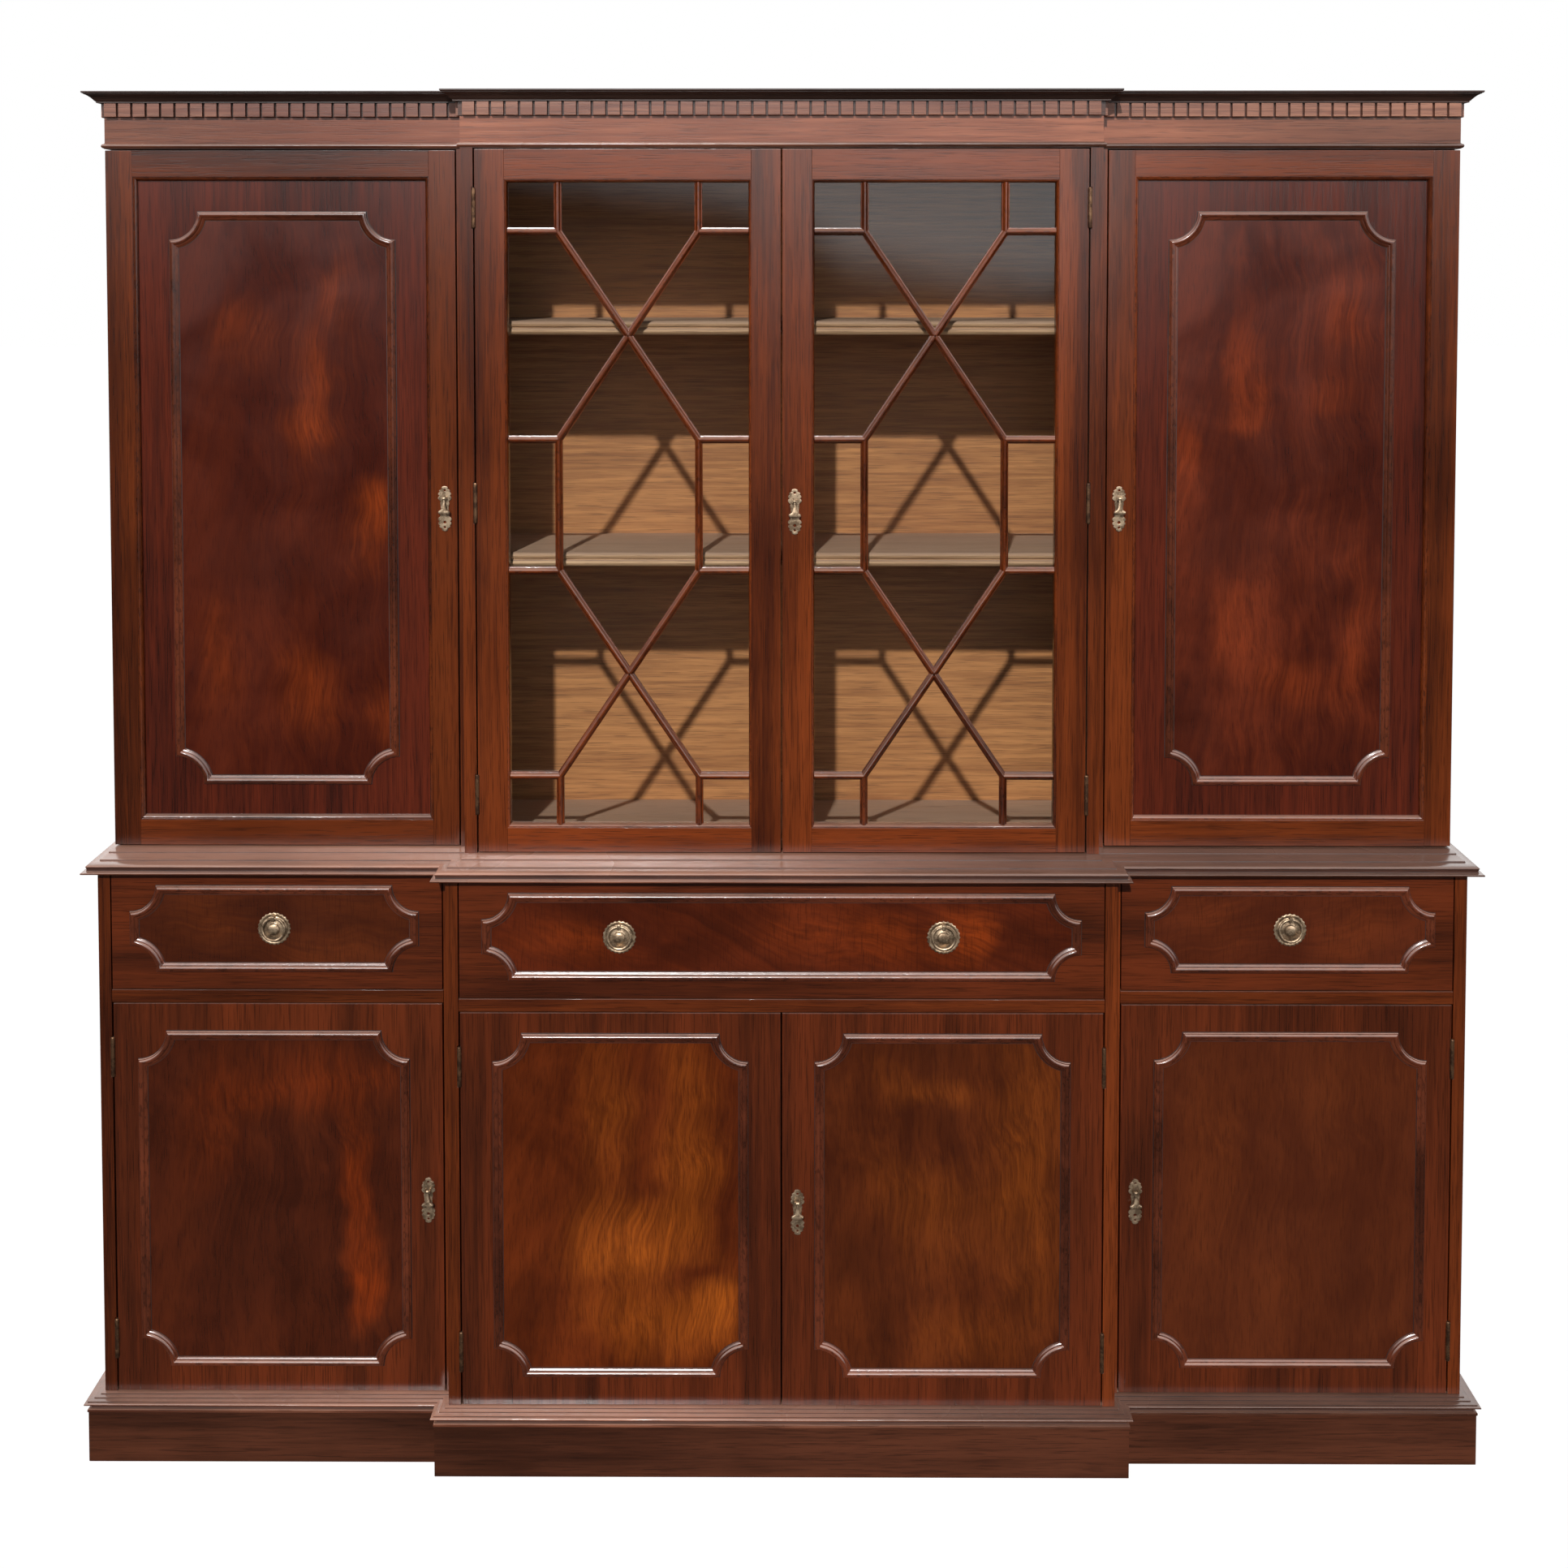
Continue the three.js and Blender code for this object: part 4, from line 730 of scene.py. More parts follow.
# Veneer of each front: its dark, middle and bright tones, how it runs, and its patches
FLAMES = {
    "upper_wing_door_panel_left": {
        "colours": ((56, 16, 7), (82, 28, 10), (150, 61, 17)),
        "fan": 2.0, "patches": (
            (44, 165, 30, 90, 0.6), (36, 105, 45, 30, 0.4), (140, -5, 34, 42, 0.85),
            (120, -60, 30, 60, 0.35), (-100, -225, 40, 80, 0.4), (30, -285, 45, 70, 0.6),
            (144, -320, 26, 60, 0.5), (-60, 245, 55, 40, 0.3), (80, 300, 20, 60, 0.45),
            (0, -100, 90, 60, -0.5), (90, -190, 50, 40, -0.4))},
    "upper_wing_door_panel_right": {
        "colours": ((58, 18, 9), (96, 36, 16), (158, 65, 26)),
        "fan": 1.6, "swirl": 0.7, "patches": (
            (-50, 180, 26, 80, 0.5), (-44, 110, 44, 28, 0.5), (-150, 60, 26, 120, 0.5),
            (100, 270, 40, 60, 0.4), (70, 150, 40, 40, 0.25), (-50, -180, 40, 80, 0.45),
            (20, -270, 70, 40, 0.4), (110, -200, 22, 120, 0.4), (40, 60, 120, 60, -0.45),
            (-60, -60, 90, 50, -0.5), (-130, -320, 50, 60, -0.7), (60, -130, 60, 40, -0.4))},
    "base_wing_door_left": {
        "colours": ((52, 18, 7), (80, 31, 11), (138, 51, 8)),
        "fan": 0.6, "patches": (
            (112, 60, 24, 70, 0.6), (122, -60, 26, 110, 0.85), (116, -150, 26, 50, 0.7),
            (40, 170, 130, 50, 0.6), (-90, 80, 60, 120, 0.25), (-20, -90, 120, 120, -0.5))},
    "base_centre_door_left": {
        "colours": ((66, 22, 4), (102, 40, 8), (178, 89, 20)),
        "lean": -0.12, "fan": 1.2, "swirl": 0.8, "patches": (
            (40, -46, 90, 56, 0.75), (100, 60, 46, 100, 0.55), (80, -165, 110, 60, 0.65),
            (-16, 140, 40, 100, 0.35), (136, -130, 40, 60, 0.55), (96, 200, 40, 60, 0.3),
            (-20, -60, 60, 120, 0.3), (120, -90, 36, 26, -0.4), (-140, -150, 60, 60, -0.6),
            (-130, 180, 60, 50, -0.3))},
    "base_centre_door_right": {
        "colours": ((60, 22, 7), (94, 40, 12), (146, 71, 17)),
        "lean": 0.1, "fan": 0.5, "swirl": 0.7, "patches": (
            (124, 60, 56, 220, 0.65), (-37, 196, 50, 30, 0.5), (14, 164, 34, 26, 0.55),
            (-80, 20, 50, 80, 0.2), (12, -190, 110, 50, 0.3), (-20, 226, 60, 26, -0.5),
            (0, 0, 90, 80, 0.4), (-10, 120, 60, 50, -0.2), (-125, -60, 50, 60, -0.8),
            (-80, -175, 50, 50, -0.6))},
    "base_wing_door_right": {
        "colours": ((70, 28, 12), (88, 38, 15), (112, 51, 18)),
        "fan": 0.4, "patches": (
            (-110, 60, 50, 170, 0.45), (60, 170, 140, 50, 0.3), (-20, -120, 90, 60, 0.25),
            (80, -120, 60, 120, -0.3))},
    "drawer_front_left": {
        "colours": ((58, 22, 9), (82, 34, 12), (112, 49, 15)),
        "lean": 1.45, "fan": 0.3, "patches": (
            (60, -30, 90, 40, 0.4), (-90, 20, 70, 30, 0.45), (0, 10, 60, 40, -0.4))},
    "fall_front": {
        "colours": ((62, 20, 6), (92, 33, 10), (168, 67, 14)),
        "lean": 1.2, "fan": 0.5, "patches": (
            (60, 10, 120, 40, 0.3), (250, 0, 40, 40, 0.6), (290, 20, 26, 30, 0.5),
            (160, -10, 60, 50, 0.3), (-290, -10, 90, 40, 0.3), (-120, 20, 120, 40, -0.3),
            (370, 0, 50, 40, -0.3))},
    "drawer_front_right": {
        "colours": ((68, 26, 11), (90, 37, 15), (118, 51, 18)),
        "lean": 1.7, "fan": 0.3, "patches": (
            (90, 0, 60, 50, 0.4), (-100, 10, 60, 40, 0.3), (10, -20, 60, 40, -0.3))},
}


def finish(name):
    """A finish of the bookcase, made the first time that it's asked for."""
    made = bpy.data.materials.get(name)
    if made:
        return made
    colours = bpy.context.scene.bookcase_colours

    def shades(stain):
        return [tuple(getattr(colours, f"{stain}_{shade}")) for shade in SHADES]

    if name in WOODS:
        stain, run, worn, *surface = WOODS[name]
        # The pale tone that what faces up turns to: dust on the shelves' tops, wear and painted
        # sheen elsewhere
        rubbed = tuple(colours.shelf_top if stain == "shelf" else colours.worn)
        return wood(name, *shades(stain), REFLECTION_ACROSS.get(stain, (1.0,)), run, worn, rubbed, *surface)
    if name in FLAMES:
        figure = dict(FLAMES[name])
        tones = [tone(*seen) for seen in figure.pop("colours")]
        low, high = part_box(name)
        return flame(name, tuple((low + high) / 2), tones, **figure)
    return brass(name, *shades(BRASSES[name])) if name in BRASSES else glass(name)


# Pieces

class Maker:
    """What the operators share"""

    bl_options = {"REGISTER", "UNDO"}

    def execute(self, context):
        self.make(context.scene.bookcase_sizes)
        return {"FINISHED"}


class BOOKCASE_OT_plinth(Maker, bpy.types.Operator):
    """Makes the plinth, its moulding and the floor that stands on it"""

    bl_idname = "bookcase.plinth"
    bl_label = "Plinth"

    def make(self, sizes):
        plan, (low, high) = base_plan(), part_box("plinth")
        foot, cap = low.z, high.z - CAP
        bm = bmesh.new()
        plan.walls(bm, PLINTH_BOARD, foot, cap - foot)
        # Painted highlight with wear on the board's bead, and painted shade in its top hollow
        mark(bm, foot, cap - foot, PLINTH_HIGHLIGHT_AND_WEAR, 1, steepest=2)
        mark(bm, foot, cap - foot, PLINTH_SHADE, 2)
        add_piece(bm, "plinth_boards", "carcass",
                  ["plinth_wood", "moulding_wood", "hollow_wood"], ["plinth"])
        bm = bmesh.new()
        plan.walls(bm, PLINTH_CAP, cap, high.z - cap)
        # Painted shade in the cap's hollows
        mark(bm, cap, high.z - cap, CAP_SHADE, 1)
        add_piece(bm, "plinth_moulding", "carcass", ["moulding_wood", "hollow_wood"])
        bm = bmesh.new()
        plan.slab(bm, FLOOR, high.z - sizes.board, sizes.board)
        add_piece(bm, "base_floor", "carcass", ["shelf_boards"])


class BOOKCASE_OT_base_case(Maker, bpy.types.Operator):
    """Makes the lower case and the moulded board on top of it"""

    bl_idname = "bookcase.base_case"
    bl_label = "Lower case"

    def make(self, sizes):
        for name in SIDES:
            for node in (f"base_side_{name}", f"base_partition_{name}"):
                cut_board(node, "carcass", ["stile_wood"])
            cut_board(f"drawer_rail_{name}", "carcass", ["rail_wood"])
        cut_board("drawer_rail_centre", "carcass", ["rail_wood"])
        cut_board("base_back_panel", "carcass", ["back_wood"])
        low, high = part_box("waist_moulding")
        bm = bmesh.new()
        base_plan().slab(bm, WAIST, low.z, high.z - low.z, upper_plan())
        # Painted shade in the waist's hollows
        mark(bm, low.z, high.z - low.z, WAIST_SHADE, 1)
        add_piece(bm, "waist_board", "carcass", ["moulding_wood", "hollow_wood"],
                  ["waist_moulding"])


class BOOKCASE_OT_upper_case(Maker, bpy.types.Operator):
    """Makes the upper case, its shelves, and the frieze with its bead"""

    bl_idname = "bookcase.upper_case"
    bl_label = "Upper case"

    def make(self, sizes):
        for name in SIDES:
            for node in (f"upper_side_{name}", f"upper_partition_{name}"):
                cut_board(node, "carcass", ["stile_wood", "inner_wood"])
            self.shelf(f"wing_shelf_{name}")
        for name in ("low", "high"):
            self.shelf(f"centre_shelf_{name}")
        cut_board("upper_floor", "carcass", ["shelf_boards"])
        cut_board("upper_back_panel", "carcass", ["back_wood"])
        plan, (low, high) = upper_plan(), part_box("frieze")
        bm = bmesh.new()
        plan.slab(bm, BEAD, low.z, BEAD_HEIGHT)
        add_piece(bm, "frieze_bead", "carcass", ["moulding_wood"], ["frieze"])
        bm = bmesh.new()
        plan.walls(bm, FRIEZE, low.z + BEAD_HEIGHT, high.z - low.z - BEAD_HEIGHT)
        add_piece(bm, "frieze_boards", "carcass", ["frieze_wood"])

    def shelf(self, node):
        """A shelf with a reeded front edge"""
        low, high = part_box(node)
        thickness = high.z - low.z
        bm = bmesh.new()
        front = low.y + max(out for out, _ in REEDED_SHARES) * thickness
        outline = [(front - out * thickness, low.z + up * thickness) for out, up in REEDED_SHARES]
        outline += [(high.y, high.z), (high.y, low.z)]
        loft(bm, [[Vector((x, y, z)) for y, z in outline] for x in (low.x, high.x)])
        add_piece(bm, f"{node}_board", "carcass", ["shelf_boards"], [node])


class BOOKCASE_OT_cornice(Maker, bpy.types.Operator):
    """Makes the cornice with its row of dentils"""

    bl_idname = "bookcase.cornice"
    bl_label = "Cornice"

    def make(self, sizes):
        plan, (low, high) = upper_plan(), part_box("cornice")
        crown = high.z - CROWN_HEIGHT
        bm = bmesh.new()
        plan.slab(bm, CROWN, crown, high.z - crown)
        add_piece(bm, "cornice_crown", "carcass", ["crown_wood"], ["cornice"])
        bm = bmesh.new()
        plan.walls(bm, DENTIL_BAND, low.z, crown - low.z)
        add_piece(bm, "dentil_band", "carcass", ["plinth_wood"])
        bm = bmesh.new()
        corners = plan.corners(0, low.z)
        for start, end in zip(corners, corners[1:]):
            self.dentils(bm, sizes, start, end, crown - low.z)
        add_piece(bm, "dentils", "carcass", ["dentil_wood"])

    def dentils(self, bm, sizes, start, end, height):
        """One straight run of dentils"""
        run = end - start
        pitch = sizes.dentil_width + sizes.dentil_space
        count = max(1, round(run.length / pitch))
        along, middle = run.normalized(), (start + end) / 2
        turn = Matrix.Rotation(math.atan2(along.y, along.x), 4, "Z")
        half = Vector((sizes.dentil_width / 2, sizes.dentil_proud, 0))
        for i in range(count):
            spot = middle + along * (i - (count - 1) / 2) * pitch
            old = set(bm.verts)
            block(bm, -half, half + Vector((0, 0, height)), DENTIL_EASE)
            made = [v for v in bm.verts if v not in old]
            bmesh.ops.transform(bm, matrix=Matrix.Translation(spot) @ turn, verts=made)


def door_frame(sizes, name, node, body, rect, opening, face, edge):
    """A door's stiles and rails, and the moulding worked round its opening."""
    back = face + sizes.door
    left, right, foot, head = rect
    inner_left, inner_right, inner_foot, inner_head = opening
    edge_left, edge_right = inner_left - edge, inner_right + edge
    bm = bmesh.new()
    block(bm, (left, face, foot), (edge_left, back, head), sizes.ease)
    block(bm, (edge_right, face, foot), (right, back, head), sizes.ease)
    add_piece(bm, f"{name}_stiles", body, ["stile_wood"], [node])
    bm = bmesh.new()
    block(bm, (edge_left, face, foot), (edge_right, back, inner_foot - edge), sizes.ease / 2)
    block(bm, (edge_left, face, inner_head + edge), (edge_right, back, head), sizes.ease / 2)
    add_piece(bm, f"{name}_rails", body, ["rail_wood"])
    bm = bmesh.new()
    opening_moulding(bm, opening, face, STICKING_SHARES, edge, sizes.door)
    add_piece(bm, f"{name}_sticking", body, ["bar_wood"])


def inset_box(node, inset):
    low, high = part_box(node)
    return low.x + inset, high.x - inset, low.z + inset, high.z - inset


def inner_end(low, high):
    """How far a box starts from the middle of the bookcase."""
    return min(abs(low.x), abs(high.x))


def mirrored(side, near, far, foot, head):
    """A rectangle on one side of the middle: its left, right, foot and head."""
    return (*sorted((side * near, side * far)), foot, head)


class BOOKCASE_OT_panelled_doors(Maker, bpy.types.Operator):
    """Makes the two doors with figured panels"""

    bl_idname = "bookcase.panelled_doors"
    bl_label = "Panelled doors"

    def make(self, sizes):
        for name, side in SIDES.items():
            frame_node, panel = f"upper_wing_door_frame_{name}", f"upper_wing_door_panel_{name}"
            body = f"upper_wing_leaf_{name}"
            low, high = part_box(frame_node)
            opening = inset_box(panel, sizes.rebate)
            rect = mirrored(side, inner_end(low, high), upper_plan().half, low.z, high.z)
            door_frame(sizes, f"panelled_door_{name}", frame_node, body, rect, opening, low.y,
                       PANEL_STICKING)
            low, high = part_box(panel)
            face = low.y + sizes.mould_proud
            bm = bmesh.new()
            block(bm, (low.x, face, low.z), high, sizes.ease)
            add_piece(bm, f"door_panel_{name}", body, ["upper_margin_wood"],
                      [panel])
            left, right, foot, head = opening
            mould = (left + PANEL_MARGIN, right - PANEL_MARGIN,
                     foot + PANEL_MARGIN, head - PANEL_MARGIN)
            framed_veneer(sizes, f"door_panel_{name}", body, panel, mould, face,
                          sizes.door_corner)


class BOOKCASE_OT_glazed_doors(Maker, bpy.types.Operator):
    """Makes the two glazed doors with their bars and glass"""

    bl_idname = "bookcase.glazed_doors"
    bl_label = "Glazed doors"

    # Where the bars run, as shares of the opening: the columns' inset, and the rows' foot upward
    column = 0.208
    rows = (0.0757, 0.3977, 1 - 0.3977, 1 - 0.0757)
    # How far the bars' noses stand back from the door's face, and how deep the bars are
    bar_back, bar_depth = 1.4 * MM, 10.9 * MM

    def make(self, sizes):
        plan = upper_plan()
        face = plan.centre_face
        for name, side in SIDES.items():
            node, pane, body = (f"glazed_{part}_{name}" for part in (
                "door_frame", "door_glass", "leaf"))
            low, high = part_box(node)
            opening = inset_box(pane, sizes.rebate)
            rect = mirrored(side, inner_end(low, high), plan.centre - sizes.board - sizes.door_gap,
                            low.z, high.z)
            door_frame(sizes, f"glazed_door_{name}", node, body, rect, opening, face,
                       GLAZING_STICKING)
            bm = bmesh.new()
            for start, end in self.bars(opening):
                glazing_bar(bm, sizes, start, end, face + self.bar_back, self.bar_depth)
            add_piece(bm, f"glazed_door_{name}_bars", body, ["bar_wood"])
            bm = bmesh.new()
            block(bm, *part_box(pane), THIN_EASE)
            add_piece(bm, f"glazed_door_{name}_panes", body, ["old_glass"], [pane])

    def bars(self, opening):
        """The two ends of each bar, as (x, z)"""
        left, right, foot, head = opening

        def at(across, up):
            return left + across * (right - left), foot + up * (head - foot)

        rows, (near, far) = self.rows, (self.column, 1 - self.column)
        for column in (near, far):
            yield at(column, 0), at(column, rows[0])
            yield at(column, rows[1]), at(column, rows[2])
            yield at(column, rows[3]), at(column, 1)
            for row in rows:
                yield at(round(column), row), at(column, row)
        for bottom, top in (rows[:2], rows[2:]):
            yield at(near, bottom), at(far, top)
            yield at(near, top), at(far, bottom)


def moulded_leaf(sizes, name, node, body, rect, face, mould, radius, margin="margin_wood"):
    """A flush door or drawer front, with an applied moulding round its figured veneer."""
    left, right, foot, head = rect
    bm = bmesh.new()
    block(bm, (left, face, foot), (right, face + sizes.door, head), sizes.ease)
    add_piece(bm, name, body, [margin], [node])
    framed_veneer(sizes, name, body, node, mould, face, radius)


def moulded_front(sizes, name, node, body, left_inset, right_inset):
    """A drawer front with its applied moulding, these insets from its ends."""
    low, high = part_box(node)
    mould = (low.x + left_inset, high.x - right_inset,
             low.z + FRONT_MOULD_FOOT, low.z + FRONT_MOULD_HEAD)
    moulded_leaf(sizes, name, node, body, (low.x, high.x, low.z, high.z),
                 low.y + sizes.mould_proud, mould, sizes.drawer_corner, "drawer_margin_wood")


class BOOKCASE_OT_cupboard_doors(Maker, bpy.types.Operator):
    """Makes the four doors of the lower case"""

    bl_idname = "bookcase.cupboard_doors"
    bl_label = "Cupboard doors"

    # Where each applied moulding starts, in millimetres from the inner edge, the outer edge, the
    # foot and the head
    insets = {"wing": (48, 36, 38, 40), "centre": (47, 47, 42, 30)}

    def make(self, sizes):
        plan = base_plan()
        faces = {"wing": plan.face, "centre": plan.centre_face}
        edges = {"wing": plan.half, "centre": plan.centre}
        for place, insets in self.insets.items():
            inner, outer, under, over = (inset * MM for inset in insets)
            for name, side in SIDES.items():
                node = f"base_{place}_door_{name}"
                low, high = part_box(node)
                near, far = inner_end(low, high), edges[place] - sizes.board - sizes.door_gap
                rect = mirrored(side, near, far, low.z, high.z)
                mould = mirrored(side, near + inner, far - outer, low.z + under, high.z - over)
                moulded_leaf(sizes, f"cupboard_door_{place}_{name}", node,
                             f"base_{place}_leaf_{name}", rect, faces[place], mould,
                             sizes.door_corner)


class BOOKCASE_OT_drawers(Maker, bpy.types.Operator):
    """Makes the two wing drawers"""

    bl_idname = "bookcase.drawers"
    bl_label = "Drawers"

    # Where the applied moulding starts from the inner and the outer end
    insets = (34 * MM, 27 * MM)

    def make(self, sizes):
        for name, side in SIDES.items():
            body = f"wing_drawer_{name}"
            moulded_front(sizes, f"wing_drawer_front_{name}", f"drawer_front_{name}", body,
                          *self.insets[::side])
            cut_board(f"drawer_box_{name}", body, ["drawer_lining"])


class BOOKCASE_OT_writing_drawer(Maker, bpy.types.Operator):
    """Makes the writing drawer: pigeonholes, leather, the fall front and its quadrants"""

    bl_idname = "bookcase.writing_drawer"
    bl_label = "Writing drawer"

    inset = 33 * MM
    # The leather: its margin at the front, doubled at each end, half its thickness, the writing
    # floor's height, where it ends at the back, and its insets from the fall's foot and head
    margin, skin, floor, back = 24 * MM, 0.8 * MM, 20 * MM, 22 * MM
    fall_foot, fall_head = 32 * MM, 30 * MM
    # The quadrants: distance from the fall's ends, thickness, radii, how much the tip narrows
    # and over how many steps, the angle it starts at, the angle it covers, and its steps
    from_end, thick, inner, outer = 12 * MM, 3 * MM, 128 * MM, 138 * MM
    tip, tip_steps, start, cover, steps = 6 * MM, 4, 12, 74, 32

    def make(self, sizes):
        cut_board("writing_drawer_box", "writing_drawer", ["drawer_lining"])
        moulded_front(sizes, "fall", "fall_front", "fall", self.inset, self.inset)
        low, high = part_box("fall_front")
        face = low.y + sizes.mould_proud
        self.quadrants(face, low.z, low.x)
        left, right = low.x + 2 * self.margin, high.x - 2 * self.margin
        front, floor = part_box("writing_drawer_box")[0].y + self.margin, low.z + self.floor
        self.leather("writing_leather", "writing_drawer",
                     Vector((left, front, floor - self.skin)),
                     Vector((right, self.back, floor + self.skin)))
        inner = face + sizes.door
        self.leather("fall_leather", "fall",
                     Vector((left, inner - self.skin, low.z + self.fall_foot)),
                     Vector((right, inner + self.skin, high.z - self.fall_head)))

    def leather(self, name, body, low, high):
        colours = bpy.context.scene.bookcase_colours
        hide(name, tuple(colours.leather), tuple(colours.gilt), low, high)
        bm = bmesh.new()
        block(bm, low, high, THIN_EASE)
        add_piece(bm, name, body, [name])

    def quadrants(self, face, hinge_z, left):
        """The two curved brass stays that hold the fall"""
        bm = bmesh.new()
        out = abs(left) - self.from_end
        for x in (-out, out - self.thick):
            loops = []
            for i in range(self.steps + 1):
                t = math.radians(self.start + self.cover * i / self.steps)
                tip = self.tip * max(0, 1 - i / self.tip_steps) / 2
                section = ((self.inner + tip, x), (self.inner + tip, x + self.thick),
                           (self.outer - tip, x + self.thick), (self.outer - tip, x))
                loops.append([
                    Vector((at_x, face + r * math.cos(t), hinge_z + r * math.sin(t)))
                    for r, at_x in section])
            loft(bm, loops)
        add_piece(bm, "fall_quadrants", "fall", ["aged_brass"])


class BOOKCASE_OT_hinges(Maker, bpy.types.Operator):
    """Makes the brass butt hinges: their knuckles, and the leaves on the doors"""

    bl_idname = "bookcase.hinges"
    bl_label = "Hinges"

    # How far a hinge's middle is from the door's foot and head
    upper_inset, base_inset = 84 * MM, 78 * MM
    # The leaf: its distance from the knuckle sideways and behind, thickness, depth, eased edge
    beside, behind, thick, deep, edge = 1.6 * MM, 2 * MM, 0.9 * MM, 15 * MM, 0.2 * MM

    def make(self, sizes):
        low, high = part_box("glazed_door_frame_left")
        upper = low.z + self.upper_inset, (low.z + high.z) / 2, high.z - self.upper_inset
        low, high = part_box("base_centre_door_left")
        base = low.z + self.base_inset, high.z - self.base_inset
        profile = [(r * sizes.knuckle, up * sizes.hinge) for r, up in KNUCKLE_SHARES]
        for name, side in SIDES.items():
            for door, heights in (("upper_wing", upper), ("glazed", upper),
                                  ("base_wing", base), ("base_centre", base)):
                x, y, _ = JOINTS[f"{door}_door_{name}_hinge"]["pos_m"]
                bm = bmesh.new()
                for z in heights:
                    turned(bm, profile, (x, y, z - sizes.hinge / 2), sizes.round_steps // 3)
                    if door != "upper_wing":
                        self.leaf(bm, sizes, x - side * self.beside, y + self.behind, z, -side)
                add_piece(bm, f"{door}_door_{name}_hinges", f"{door}_leaf_{name}",
                          ["dull_brass"])

    def leaf(self, bm, sizes, x, y, z, way):
        """The leaf let into a door's edge"""
        half = sizes.hinge / 2
        low, high = sorted((x, x + way * self.thick))
        block(bm, (low, y, z - half), (high, y + self.deep, z + half), self.edge)


def outward(x, face, z):
    """Stands what was drawn on the floor up against a front."""
    return Matrix.Translation((x, face, z)) @ Matrix.Rotation(math.pi / 2, 4, "X")


class BOOKCASE_OT_ring_pulls(Maker, bpy.types.Operator):
    """Makes the four ring pulls with their turned roses"""

    bl_idname = "bookcase.ring_pulls"
    bl_label = "Ring pulls"

    # The rose's height, the lug that holds the ring (half its size, and its eased edge), and the
    # facets of the ring's wire
    rose_height, lug, lug_edge, wire_steps = 6.4 * MM, Vector((2.6, 3.8, 3.8)) * MM, 1.2 * MM, 14
    # Where the rose's rim starts, how deep its lobes are pressed, and how many there are
    rim, lobe_depth, lobes = 0.8, 0.03, 24

    def make(self, sizes):
        for pull in ("left", "writing_left", "writing_right", "right"):
            low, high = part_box(f"ring_rose_{pull}")
            centre = (low + high) / 2
            body = "fall" if "writing" in pull else f"wing_drawer_{pull}"
            bm = bmesh.new()
            profile = [(r * sizes.rose, up * self.rose_height) for r, up in ROSE_SHARES]
            turned(bm, profile, (0, 0, 0), sizes.round_steps)
            self.scallop(bm, sizes)
            bmesh.ops.transform(bm, matrix=outward(centre.x, high.y, centre.z), verts=bm.verts)
            x, y, z = JOINTS[f"ring_{pull}_pivot"]["pos_m"]
            lug = self.lug
            block(bm, (x - lug.x, y - lug.y, z - lug.z), (x + lug.x, high.y, z + lug.z),
                  self.lug_edge)
            add_piece(bm, f"rose_{pull}", body, ["aged_brass"], [f"ring_rose_{pull}"])
            bm = bmesh.new()
            wire = [(sizes.ring + out, up) for out, up in circle(sizes.wire, self.wire_steps)]
            turned(bm, wire, (0, 0, 0), sizes.round_steps, outward(x, y, z - sizes.ring),
                   closed=True)
            add_piece(bm, f"ring_{pull}", f"ring_{pull}", ["aged_brass"],
                      [f"ring_pull_{pull}"])

    def scallop(self, bm, sizes):
        """Presses a row of small lobes into the rose's rim"""
        for vert in bm.verts:
            x, y, _ = vert.co
            into = (math.hypot(x, y) / sizes.rose - self.rim) / (1 - self.rim)
            if into > 0:
                wave = 1 - math.cos(self.lobes * math.atan2(y, x))
                pressed = 1 - self.lobe_depth * into * wave
                vert.co.x, vert.co.y = x * pressed, y * pressed


